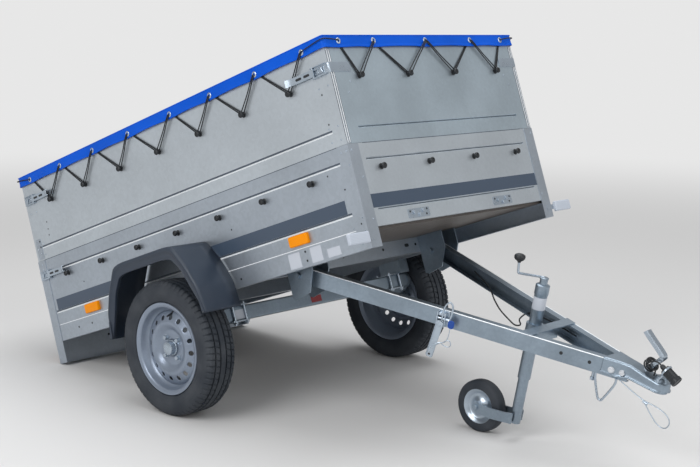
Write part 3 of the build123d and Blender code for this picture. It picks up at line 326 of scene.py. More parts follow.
@dataclass(frozen=True)
class Zinc(Finish):
    """Zinc-coated steel: crystal patches, cloudy grey and a slightly uneven gloss.

    Triple is the plain colour times 1 +- spangle by random cells, times a slow cloud. Roughness
    rises with the same cloud, and a fine grain lifts the surface by a few hundredths of a mm.
    """

    crystal: float = 0.012
    spangle: float = 0.06
    cloud: float = 0.10
    metallic: float = 0.85
    grain: float = 0.00004

    def compose(self) -> bpy.types.Material:
        """Build the material.

        Returns:
            The new material.
        """
        shader = Shader(self.name)
        cell = shader.cells(self.crystal).part(0)
        cloud = shader.noise(0.22, 4)
        low = paler(self.colour, 1 - self.cloud)
        high = tuple(min(1.0, c * (1 + self.cloud)) for c in self.colour)
        clouded = shader.mix(cloud.between(0.3, 0.7), low, high)
        base = shader.mix(cell * (2 * self.spangle), clouded, paler(self.colour, 0.35))
        fine = shader.noise(0.0025, 2)
        rough = cell * 0.06 + cloud * 0.12 + (self.roughness - 0.09)
        normal = shader.bump(fine, self.grain)
        return shader.finish(base=base, roughness=rough, metallic=self.metallic, normal=normal)


@dataclass(frozen=True)
class Plastic(Finish):
    """Moulded plastic with a fine grain and dust on it.

    Dust is a slow cloud that pales the colour; the grain is small cells that lift the surface.
    """

    grain: float = 0.0012
    depth: float = 0.00006
    dust: float = 0.25

    def compose(self) -> bpy.types.Material:
        """Build the material.

        Returns:
            The new material.
        """
        shader = Shader(self.name)
        cloud = shader.noise(0.09, 5).between(0.35, 0.75)
        pale = tuple(c + 0.05 * self.dust * 4 * (0.5 + c) for c in self.colour)
        base = shader.mix(cloud * self.dust, self.colour, pale)
        grain = shader.cells(self.grain, "Distance")
        rough = cloud * 0.12 + (self.roughness - 0.06)
        return shader.finish(base=base, roughness=rough, normal=shader.bump(grain, self.depth))


@dataclass(frozen=True)
class Rubber(Plastic):
    """Tyre rubber: Plastic with a wider cloud of grey dust and no gloss."""

    roughness: float = 0.72
    dust: float = 0.5


@dataclass(frozen=True)
class Lens(Finish):
    """Clear-coated lamp lens with faint upright ribs inside."""

    ribs: float = 0.005

    def compose(self) -> bpy.types.Material:
        """Build the material.

        Returns:
            The new material.
        """
        shader = Shader(self.name)
        place = shader.where()
        rib = (place.part(0) + place.part(1)).wave(self.ribs) * place.part(2).wave(self.ribs)
        base = shader.mix(rib * 0.4, self.colour, paler(self.colour, 0.6))
        rough = rib * 0.08 + self.roughness
        return shader.finish(base=base, roughness=rough, coat=0.12, coat_roughness=0.15, ior=1.2)


@dataclass(frozen=True)
class Plywood(Finish):
    """Film-faced plywood: brown film with a pressed net and streaks of the wood's grain below."""

    net: float = 0.004
    grain: float = 0.12

    def compose(self) -> bpy.types.Material:
        """Build the material.

        Returns:
            The new material.
        """
        shader = Shader(self.name)
        inputs = {"Vector": shader.where(), "Scale": (self.grain, 1, 1)}
        along = shader.signal("Mapping", {"vector_type": "POINT"}, inputs)
        streak = shader.noise(0.02, 4, along)
        base = shader.mix(streak, paler(self.colour, 0.7), paler(self.colour, 1.35))
        net = shader.cells(self.net, "Distance")
        rough = streak * 0.15 + (self.roughness - 0.07)
        return shader.finish(base=base, roughness=rough, normal=shader.bump(net, 0.0002))


@dataclass(frozen=True)
class Cloth(Finish):
    """Coated tarpaulin cloth: a fine basket weave under a satin skin, paler in cloudy patches."""

    thread: float = 0.0022

    def compose(self) -> bpy.types.Material:
        """Build the material.

        Returns:
            The new material.
        """
        shader = Shader(self.name)
        along, across = shader.where(True).part(0), shader.where(True).part(1)
        weave = along.wave(self.thread) * across.wave(self.thread)
        cloud = shader.noise(0.22, 3).between(0.3, 0.75)
        bright = tuple(c * 1.08 + 0.002 for c in self.colour)
        base = shader.mix(cloud, paler(self.colour, 0.92), bright)
        rough = cloud * 0.1 + weave * 0.08 + (self.roughness - 0.09)
        normal = shader.bump(weave, 0.0001)
        return shader.finish(base=base, roughness=rough, normal=normal, ior=1.22)


@dataclass(frozen=True)
class Braid(Finish):
    """Braided cord: two crossing sets of strands, worked out from the tube's own UV map, with painted shade
    between the strands and a painted highlight on their crowns.
    """

    pitch: float = 0.004

    def compose(self) -> bpy.types.Material:
        """Build the material.

        Returns:
            The new material.
        """
        shader = Shader(self.name)
        along, around = shader.where(True).part(0), shader.where(True).part(1)
        left = (along / self.pitch + around * 3).wave(1)
        right = (along / self.pitch - around * 3).wave(1)
        weave = left * right
        # the colour goes darker between the strands and paler on their crowns: painted shade and painted
        # highlight
        base = shader.mix(weave, paler(self.colour, 0.5), paler(self.colour, 1.6))
        rough = weave * 0.15 + self.roughness
        return shader.finish(base=base, roughness=rough, normal=shader.bump(weave, 0.0004))


class Look(Enum):
    """The finishes that the pieces are dressed in."""

    SHEET = Zinc("zinc_sheet", tint(176, 185, 195), 0.40, spangle=0.05, cloud=0.05)
    EXTENSION = Zinc("zinc_sheet_pale", tint(198, 206, 213), 0.42, spangle=0.04, cloud=0.04)
    # FRONT is the pale extension zinc made darker for the front extension: painted shade on the front face
    FRONT = Zinc("zinc_sheet_front_shaded", tint(184, 198, 208), 0.40, spangle=0.05, cloud=0.06)
    # STEEL is the beams' dipped zinc; on the jockey case its darker tone is also painted shade
    STEEL = Zinc("zinc_dipped_and_painted_shade", tint(146, 160, 173), 0.36, crystal=0.008, cloud=0.14, grain=0.0001)
    PLATED = Zinc("zinc_bright", tint(178, 190, 202), 0.3, crystal=0.004, spangle=0.03)
    # the next two finishes are painted light: a dark zinc for painted shade in grooves, seams and corner
    # gaps, and a pale zinc for painted highlights on groove lips, rails, corners and beam edges
    SHADE = Zinc("painted_shade_lines", tint(84, 94, 106), 0.55, spangle=0.02, metallic=0.3)
    PAINTED_HIGHLIGHT = Zinc("painted_highlight_line", tint(240, 244, 248), 0.4, spangle=0.02, cloud=0.03, metallic=0.2)
    BOLT = Zinc("bright_bolt", tint(208, 212, 217), 0.3, spangle=0.02, metallic=0.35)
    RIM = Zinc("rim_paint", tint(140, 151, 167), 0.36, crystal=0.002, metallic=0.55, cloud=0.05)
    BLUE = Cloth("tarpaulin_blue", tint(0, 84, 202), 0.46)
    CORD = Braid("lacing_black", tint(26, 30, 36), 0.6)
    # BLACK is real black plastic, and also painted shade on the discs, buttons and plates that stand for
    # holes, slots and gaps
    BLACK = Plastic("plastic_black_and_painted_shade", tint(24, 28, 33), 0.42)
    GUARD = Plastic("plastic_guard", tint(38, 49, 64), 0.46, grain=0.002, depth=0.0001)
    TYRE = Rubber("tyre_rubber", tint(34, 41, 50))
    AMBER = Lens("lens_amber", tint(248, 148, 0), 0.3)
    CLEAR = Lens("lens_clear", tint(190, 198, 210), 0.2)
    RED = Lens("lens_red", tint(178, 14, 14), 0.2)
    FLOOR = Plywood("film_plywood", tint(80, 74, 70), 0.5)
    BAND = Plastic("band_vinyl", tint(62, 76, 94), 0.36, depth=0.00002, dust=0.1)
    WHITE = Plastic("label_white", tint(190, 196, 206), 0.4, depth=0.00001, dust=0.05)
    DULL_RED = Plastic("plate_red", tint(140, 52, 56), 0.45, depth=0.00001, dust=0.2)
    TAG = Plastic("tag_blue", tint(10, 66, 150), 0.35, dust=0.1)

    @property
    def material(self) -> bpy.types.Material:
        """The finish's material."""
        return self.value.material()


# ---- surfaces ----
def lattice(rows: int, columns: int, wrap: tuple[bool, bool] = (False, False)) -> Array:
    """Faces of a grid of points.

    Args:
        rows: Number of rows of points.
        columns: Number of points in a row.
        wrap: Whether the last row joins the first, and the last column the first.

    Returns:
        Array of quads, four point numbers each.
    """
    i, j = np.indices((rows - (not wrap[0]), columns - (not wrap[1])))
    ni, nj = (i + 1) % rows, (j + 1) % columns
    quads = [i * columns + j, ni * columns + j, ni * columns + nj, i * columns + nj]
    return np.stack(quads, -1).reshape(-1, 4)


class Form:
    """Points and faces gathered for one piece, in a local frame."""

    def __init__(self) -> None:
        """Start with nothing."""
        self.points: list[Array] = []
        self.faces: list[Array] = []
        self.marks: list[Array] = []
        self.count = 0

    def add(self, points: Array, faces: Iterable[Array], marks: Array | None = None) -> Form:
        """Add points with their faces.

        Args:
            points: Array of points.
            faces: Arrays of point numbers, the faces of one array having as many corners each.
            marks: Two surface coordinates per point, for the UV map.

        Returns:
            The form itself.
        """
        flat = np.asarray(points, float).reshape(-1, 3)
        self.faces += [np.asarray(f, int) + self.count for f in faces]
        self.points.append(flat)
        self.marks.append(np.zeros((len(flat), 2)) if marks is None else marks.reshape(-1, 2))
        self.count += len(flat)
        return self

    def grid(self, points: Array, wrap: tuple[bool, bool] = (False, False), capped: bool = False,
             marks: Array | None = None) -> Form:
        """Add a surface given as a grid of points.

        Args:
            points: Array of rows by columns of points.
            wrap: Whether the last row joins the first, and the last column the first.
            capped: Whether the first and last rows are filled in.
            marks: Two surface coordinates per point, for the UV map.

        Returns:
            The form itself.
        """
        rows, columns = points.shape[:2]
        faces = [lattice(rows, columns, wrap)]
        if capped:
            faces += [np.arange(columns)[None, ::-1], (rows - 1) * columns + np.arange(columns)[None]]
        return self.add(points, faces, marks)

    def join(self, other: Form) -> Form:
        """Add another form's points and faces.

        Args:
            other: The other form, which stays as it is.

        Returns:
            The form itself.
        """
        self.faces += [f + self.count for f in other.faces]
        self.points += other.points
        self.marks += other.marks
        self.count += other.count
        return self

    def copies(self, places: Array, turns: Array | None = None) -> Form:
        """Repeat the form.

        Args:
            places: Array of points that the form's origin goes to.
            turns: One 3 x 3 turn for all copies, or one for each.

        Returns:
            A new form with all the copies.
        """
        places = np.asarray(places, float).reshape(-1, 3)
        turns = np.eye(3) if turns is None else np.asarray(turns, float)
        turns = np.broadcast_to(turns, (len(places), 3, 3))
        points = np.concatenate(self.points)
        moved = np.einsum("kij,nj->kni", turns, points) + places[:, None]
        offsets = np.arange(len(places)) * self.count
        faces = [(f[None] + offsets[:, None, None]).reshape(-1, f.shape[1]) for f in self.faces]
        return Form().add(moved, faces, np.tile(np.concatenate(self.marks), (len(places), 1)))

    def bent(self, rule: Callable[[Array], Array]) -> Form:
        """A new form whose points have gone through rule."""
        points = rule(np.concatenate(self.points))
        return Form().add(points, self.faces, np.concatenate(self.marks))

    def mirrored(self) -> Form:
        """The form with its mirror image across the middle plane."""
        other = self.bent(lambda p: p * (1, -1, 1))
        other.faces = [f[:, ::-1] for f in other.faces]
        return Form().join(self).join(other)


def joined(forms: Iterable[Form]) -> Form:
    """Put several forms together.

    Args:
        forms: The forms, in their order.

    Returns:
        A new form.
    """
    whole = Form()
    for form in forms:
        whole.join(form)
    return whole


def loft(rows: Array) -> Form:
    """A closed form through rows of points, each row a closed outline, its ends capped."""
    return Form().grid(np.asarray(rows, float), (False, True), True)


def bearings(count: int) -> Array:
    """Angles of count equal steps round a full turn."""
    return np.arange(count) * 2 * np.pi / count


def round_point(angle: Array) -> Array:
    """Points (cosine, sine) of the unit circle at angles."""
    return np.stack([np.cos(angle), np.sin(angle)], -1)


def circle(radius: float, sides: int) -> Array:
    """Points of a circle as (across, up): radius times the cosine and sine of equal steps."""
    return radius * round_point(bearings(sides))


def rounded(width: float, height: float, radius: float, steps: int = 4) -> Array:
    """Outline of a rectangle about its middle: four quarter circles, joined.

    Args:
        width: Its size across.
        height: Its size upward.
        radius: Radius of its corners.
        steps: Steps in each corner.

    Returns:
        Array of (across, up) points.
    """
    turn = np.linspace(0, np.pi / 2, steps + 1)[None] + np.arange(4)[:, None] * np.pi / 2
    signs = np.array([[1, 1], [-1, 1], [-1, -1], [1, -1]])
    middles = signs * (width / 2 - radius, height / 2 - radius)
    return (middles[:, None] + radius * round_point(turn)).reshape(-1, 2)


def aimed(direction: Sequence[float], across: Sequence[float] = (0, 0, 1)) -> Array:
    """Find a turn.

    Args:
        direction: Where Z goes.
        across: What Y keeps as near to as it can.

    Returns:
        The 3 x 3 turn.
    """
    z = np.asarray(direction, float) / np.linalg.norm(direction)
    x = np.cross(np.asarray(across, float), z)
    x /= np.linalg.norm(x)
    return np.stack([x, np.cross(z, x), z], -1)


def prism(outline: Array, low: float, high: float) -> Form:
    """An outline of (x, y) points carried straight up from z = low to z = high, capped."""
    return loft([np.column_stack([outline, np.full(len(outline), z)]) for z in (low, high)])


def turned(profile: Rows, sides: int = 32, closed: bool = False) -> Form:
    """A profile carried round the Z axis: each (r, z) gives the points (r cos a, r sin a, z).

    Args:
        profile: The (radius, height) points.
        sides: How many steps go round.
        closed: Whether the profile joins on itself. Otherwise its ends are capped.

    Returns:
        The closed form.
    """
    profile = np.asarray(profile, float)
    points = np.empty((len(profile), sides, 3))
    points[..., :2] = profile[:, None, :1] * circle(1.0, sides)
    points[..., 2] = profile[:, 1:]
    return Form().grid(points, (closed, True), not closed)


def button(radius: float, low: float, high: float, sides: int, inner: float = 1.0) -> Form:
    """A flat round button about Z that stands for a hole, black as painted shade; its front is capped from
    inner on.
    """
    return turned([(radius, low), (radius, high), (inner, high)], sides)


def hexagon(radius: float, height: float, washer: float = 0.0) -> Form:
    """A nut or bolt head about Z: a six-sided prism whose top ring is drawn in by a chamfer.

    Args:
        radius: From its middle to a corner.
        height: From its foot at 0 to its top.
        washer: Radius of a washer under it, or 0.

    Returns:
        The closed form.
    """
    thick = 0.12 * height if washer else 0.0
    form = turned([(radius, thick), (radius, 0.85 * height), (0.84 * radius, height)], 6)
    return form.join(turned([(washer, 0), (washer, thick)], 20)) if washer else form


def smooth_path(points: Rows, count: int, loop: bool = False) -> Array:
    """Points along a Catmull-Rom curve through points.

    Between two points p1 and p2 with neighbours p0 and p3 the curve is half of
    2 p1 + (p2 - p0) t + (2 p0 - 5 p1 + 4 p2 - p3) t^2 + (3 p1 - p0 - 3 p2 + p3) t^3.

    Args:
        points: The points that the curve goes through.
        count: How many points to give.
        loop: Whether the curve closes on itself.

    Returns:
        Array of count points.
    """
    p = np.asarray(points, float)
    if loop:
        p = np.concatenate([p[-1:], p, p[:2]])
    else:
        p = np.concatenate([2 * p[:1] - p[1:2], p, 2 * p[-1:] - p[-2:-1]])
    spans = len(p) - 3
    t = np.linspace(0, spans, count, endpoint=not loop)
    k = np.minimum(t.astype(int), spans - 1)
    t = (t - k)[:, None]
    a, b, c, d = p[k], p[k + 1], p[k + 2], p[k + 3]
    square, cube = 2 * a - 5 * b + 4 * c - d, 3 * b - a - 3 * c + d
    return 0.5 * (2 * b + (c - a) * t + square * t**2 + cube * t**3)


def carried(
    profile: Array, path: Array, up: Sequence[float] = (0, 0, 1), loop: bool = False,
    sizes: Sequence[float] | None = None,
) -> Form:
    """A (across, up) profile carried along a path, square to it.

    Each row of points is path + size * (across * side + up * rise), where side is the unit vector
    of tangent x up and rise that of side x tangent.

    Args:
        profile: Closed outline of (across, up) points.
        path: Points that the profile follows.
        up: Direction that the profile's second part keeps nearest to.
        loop: Whether the path closes on itself.
        sizes: Scale of the profile at each path point.

    Returns:
        The closed form, with millimetres along the path and turns round it as its marks.
    """
    path = np.asarray(path, float)
    if loop:
        tangent = np.roll(path, -1, 0) - np.roll(path, 1, 0)
    else:
        tangent = np.gradient(path, axis=0)
    tangent /= np.linalg.norm(tangent, axis=1, keepdims=True)
    side = np.cross(tangent, np.asarray(up, float))
    side /= np.linalg.norm(side, axis=1, keepdims=True)
    rise = np.cross(side, tangent)
    size = np.ones(len(path)) if sizes is None else np.asarray(sizes, float)
    profile = np.asarray(profile, float)
    spread = profile[None, :, :1] * side[:, None] + profile[None, :, 1:] * rise[:, None]
    points = path[:, None] + size[:, None, None] * spread
    step = np.linalg.norm(np.diff(path, axis=0), axis=1)
    along = np.concatenate([[0], np.cumsum(step)]) * MM
    around = np.arange(len(profile)) / len(profile)
    marks = np.stack(np.broadcast_arrays(along[:, None], around[None]), -1)
    return Form().grid(points, (loop, True), not loop, marks)


def tube(path: Array, radius: float, up: Sequence[float] = (0, 0, 1), sides: int = 10,
         loop: bool = False, sizes: Sequence[float] | None = None) -> Form:
    """A round rod of so many sides along a path, with the other arguments of carried."""
    return carried(circle(radius, sides), path, up, loop, sizes)


def add_object(name: str, data: bpy.types.ID) -> bpy.types.Object:
    """Put a new object with its data into the scene, at the origin."""
    thing = bpy.data.objects.new(name, data)
    bpy.context.scene.collection.objects.link(thing)
    return thing


def set_object(thing: bpy.types.Object, turn: Array, at: Sequence[float]) -> None:
    """Turn a camera or lamp and move it to its place in the world."""
    whole = np.eye(4)
    whole[:3, :3], whole[:3, 3] = turn, at
    thing.matrix_world = Matrix(whole.tolist())


def dress(node: bpy.types.Object, look: Look) -> None:
    """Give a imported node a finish, in place of its plain colour."""
    node.data.materials.clear()
    node.data.materials.append(look.material)


@dataclass
class Assembly:
    """A sub-assembly, whose pieces are given in one local frame and mostly move with one body."""

    frames: Frames
    body: ClassVar[str] = "box"
    local: ClassVar[str] = "box"

    @property
    def frame(self) -> Leaning:
        """The local frame of its points."""
        return getattr(self.frames, self.local)

    def piece(self, name: str, form: Form, look: Look, body: str = "", bevel: float = 0.0,
              sharp: float = 35.0, slot: str = "", node: str = "", merge: bool = False,
              wall: float = 0.0) -> bpy.types.Object:
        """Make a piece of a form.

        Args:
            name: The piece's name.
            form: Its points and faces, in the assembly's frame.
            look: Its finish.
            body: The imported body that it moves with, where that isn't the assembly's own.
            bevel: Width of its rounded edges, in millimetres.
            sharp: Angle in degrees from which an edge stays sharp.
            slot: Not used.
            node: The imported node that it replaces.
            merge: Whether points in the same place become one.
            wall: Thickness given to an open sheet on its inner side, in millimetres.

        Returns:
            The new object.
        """
        points = self.frame.world(np.concatenate(form.points))
        mesh = bpy.data.meshes.new(name)
        loops = np.concatenate([f.ravel() for f in form.faces])
        sizes = np.concatenate([np.full(len(f), f.shape[1]) for f in form.faces])
        mesh.vertices.add(len(points))
        mesh.vertices.foreach_set("co", points.astype(np.float32).ravel())
        mesh.loops.add(len(loops))
        mesh.loops.foreach_set("vertex_index", loops.astype(np.int32))
        mesh.polygons.add(len(sizes))
        starts = np.concatenate([[0], np.cumsum(sizes)[:-1]])
        mesh.polygons.foreach_set("loop_start", starts.astype(np.int32))
        layer = mesh.uv_layers.new(name="surface")
        layer.data.foreach_set("uv", np.concatenate(form.marks)[loops].astype(np.float32).ravel())
        mesh.update(calc_edges=True)
        shells = bmesh.new()
        shells.from_mesh(mesh)
        if merge:
            bmesh.ops.remove_doubles(shells, verts=shells.verts, dist=SAME_PLACE)
        bmesh.ops.recalc_face_normals(shells, faces=shells.faces)
        shells.to_mesh(mesh)
        shells.free()
        mesh.shade_smooth()
        mesh.set_sharp_from_angle(angle=np.radians(sharp))
        mesh.materials.append(look.material)
        piece = add_object(name, mesh)
        if wall:
            shell = piece.modifiers.new("wall", "SOLIDIFY")
            shell.thickness, shell.offset = wall * MM, -1.0
        if bevel:
            rounding = piece.modifiers.new("edges", "BEVEL")
            rounding.width, rounding.segments = bevel * MM, 2
            rounding.limit_method, rounding.angle_limit = "ANGLE", np.radians(BEVEL_FROM)
            rounding.harden_normals = False
        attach(piece, body or self.body)
        if node:
            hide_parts(node)
        log.info("%s: %d points", name, len(points))
        return piece


# ---- studio ----
@dataclass
class Studio:
    """Floor, lamps and camera."""

    frames: Frames
    lens: float = 68.06
    eye: Triple = (3080.0, -3908.0, -273.0)
    right: Triple = (0.6952, 0.6798, -0.2337)
    up: Triple = (-0.22, -0.1083, -0.9695)
    floor_reach: float = 60.0
    floor_tone: float = 0.68
    fade: Pair = (2.2, 11.0)
    backdrop: float = 0.80
    surround: float = 0.44
    lamp_target: Triple = (0.0, 0.0, 0.6)
    # name, place, size in metres and power in watts
    lamps: tuple = (("key", (0.5, -6.0, 4.5), 4.0, 240.0), ("front", (6.5, -0.5, 4.0), 6.0, 170.0),
                    ("top", (-0.5, 1.0, 6.0), 4.5, 180.0))

    def camera(self) -> None:
        """Place the camera; its place and its right and up directions are given in the box frame."""
        data = bpy.data.cameras.new("camera")
        data.lens, data.sensor_width, data.clip_end = self.lens, 36.0, 200.0
        camera = add_object("camera", data)
        right, up = (self.frames.box.turn(np.array(v)) for v in (self.right, self.up))
        right /= np.linalg.norm(right)
        back = np.cross(right, -up)
        back /= np.linalg.norm(back)
        turn = np.stack([right, np.cross(back, right), back], -1)
        set_object(camera, turn, self.frames.box.world(np.array(self.eye)))
        bpy.context.scene.camera = camera

    def floor(self) -> None:
        """A pale floor that fades into the backdrop, as the camera and reflections see it."""
        side = np.linspace(-self.floor_reach, self.floor_reach, 3)
        points = np.stack([*np.meshgrid(side, side, indexing="ij"), np.zeros((3, 3))], -1)
        mesh = bpy.data.meshes.new("floor")
        mesh.from_pydata(points.reshape(-1, 3).tolist(), [], lattice(3, 3).tolist())
        shader = Shader("floor_pale")
        shader.finish(base=(self.floor_tone,) * 3, roughness=0.9)
        spot = shader.where()
        away = (spot.part(0) ** 2 + spot.part(1) ** 2) ** 0.5
        seen = shader.rays("Camera") + shader.rays("Glossy")
        share = away.between(*self.fade) * seen.between(0.0, 0.5)
        skin = Signal(shader, shader.skin.outputs[0])
        glow = shader.signal("Emission", {}, {0: (1.0, 1.0, 1.0), 1: self.backdrop})
        blend = shader.signal("MixShader", {}, {0: share, 1: skin, 2: glow})
        shader.feed(shader.output.inputs[0], blend)
        mesh.materials.append(shader.material)
        add_object("floor", mesh)

    def lamp(self, name: str, spot: Sequence[float], size: float, power: float) -> None:
        """Add a square soft lamp that looks at the middle of the trailer.

        Args:
            name: Its name.
            spot: Its place in the world.
            size: Its side in metres.
            power: Its power in watts.
        """
        data = bpy.data.lights.new(name, "AREA")
        data.size, data.energy = size, power
        set_object(add_object(name, data), aimed(np.subtract(spot, self.lamp_target)), spot)

    def world(self) -> None:
        """A pale backdrop behind the object, and a dimmer grey light from all round."""
        world = bpy.data.worlds.new("studio")
        world.use_nodes = True
        bpy.context.scene.world = world
        graph = Graph(world.node_tree)
        seen = graph.rays("Camera").most(graph.rays("Transmission"))
        range_ends = {"To Min": self.surround, "To Max": self.backdrop}
        level = graph.signal("MapRange", {}, {0: seen} | range_ends)
        glow = graph.signal("Background", {}, {0: (1.0, 1.0, 1.0), 1: level})
        graph.node("OutputWorld", {}, {0: glow})

    def build(self) -> None:
        """Set up everything that isn't the trailer."""
        self.camera()
        self.floor()
        self.world()
        for lamp in self.lamps:
            self.lamp(*lamp)
        bpy.context.scene.view_settings.view_transform = "Standard"


# ---- the box's sizes ----
@dataclass(frozen=True)
class BoxSizes:
    """Sizes of the box that several sub-assemblies share, in the box frame."""

    length: float = 2010.0
    half: float = 550.0
    sheet: float = 2.0
    rail: float = 72.0
    board_top: float = 372.0
    extension_top: float = 762.0
    grooves: Pair = (132.0, 314.0)
    groove_half: float = 5.0
    high_groove: float = 431.0
    hook_low: float = 281.0
    hook_high: float = 616.0
    side_pitch: float = 264.0
    end_pitch: float = 268.5


BOX = BoxSizes()


class Side(Enum):
    """The four sides of the box, each with a rule from its face's own coordinates.

    A face point is (along, out, up): along runs forward on the sides and to the left on the ends,
    and out is counted from the boards' outer face.
    """

    RIGHT = "right"
    LEFT = "left"
    FRONT = "front"
    REAR = "rear"

    @property
    def across(self) -> bool:
        """Whether it is an end of the box, the front or the rear."""
        return self in (Side.FRONT, Side.REAR)

    @property
    def outward(self) -> Triple:
        """The face's outward direction in the box frame."""
        sign = 1.0 if self in (Side.LEFT, Side.FRONT) else -1.0
        return (sign, 0.0, 0.0) if self.across else (0.0, sign, 0.0)

    @property
    def hooks(self) -> Array:
        """Its hooks along the face: four on an end, right first, or seven on a side, rear first."""
        if self.across:
            return (np.arange(4) - 1.5) * BOX.end_pitch
        return -BOX.length / 2 + (np.arange(7) - 3) * BOX.side_pitch

    def place(self, points: Array) -> Array:
        """Carry face points into the box frame.

        Args:
            points: Array whose last axis holds along, out and up.

        Returns:
            The same array as x, y and z.
        """
        along, out, up = np.moveaxis(np.asarray(points, float), -1, 0)
        y_face = BOX.half - BOX.sheet + out
        front, rear = out - BOX.sheet, BOX.sheet - BOX.length - out
        parts = {Side.RIGHT: (along, -y_face, up), Side.LEFT: (along, y_face, up),
                 Side.FRONT: (front, along, up), Side.REAR: (rear, along, up)}[self]
        return np.stack(parts, -1)

    def studded(self, form: Form, spots: Rows) -> Form:
        """Copies of a form that stands on Z, moved to (along, out, up) spots and aimed outward."""
        return form.copies(self.place(spots), aimed(self.outward))


SIDES = (Side.RIGHT, Side.LEFT)


def on_sides(form: Form, spots: Rows) -> Form:
    """Copies of a form at (along, out, up) spots on both long sides."""
    return joined(side.studded(form, spots) for side in SIDES)


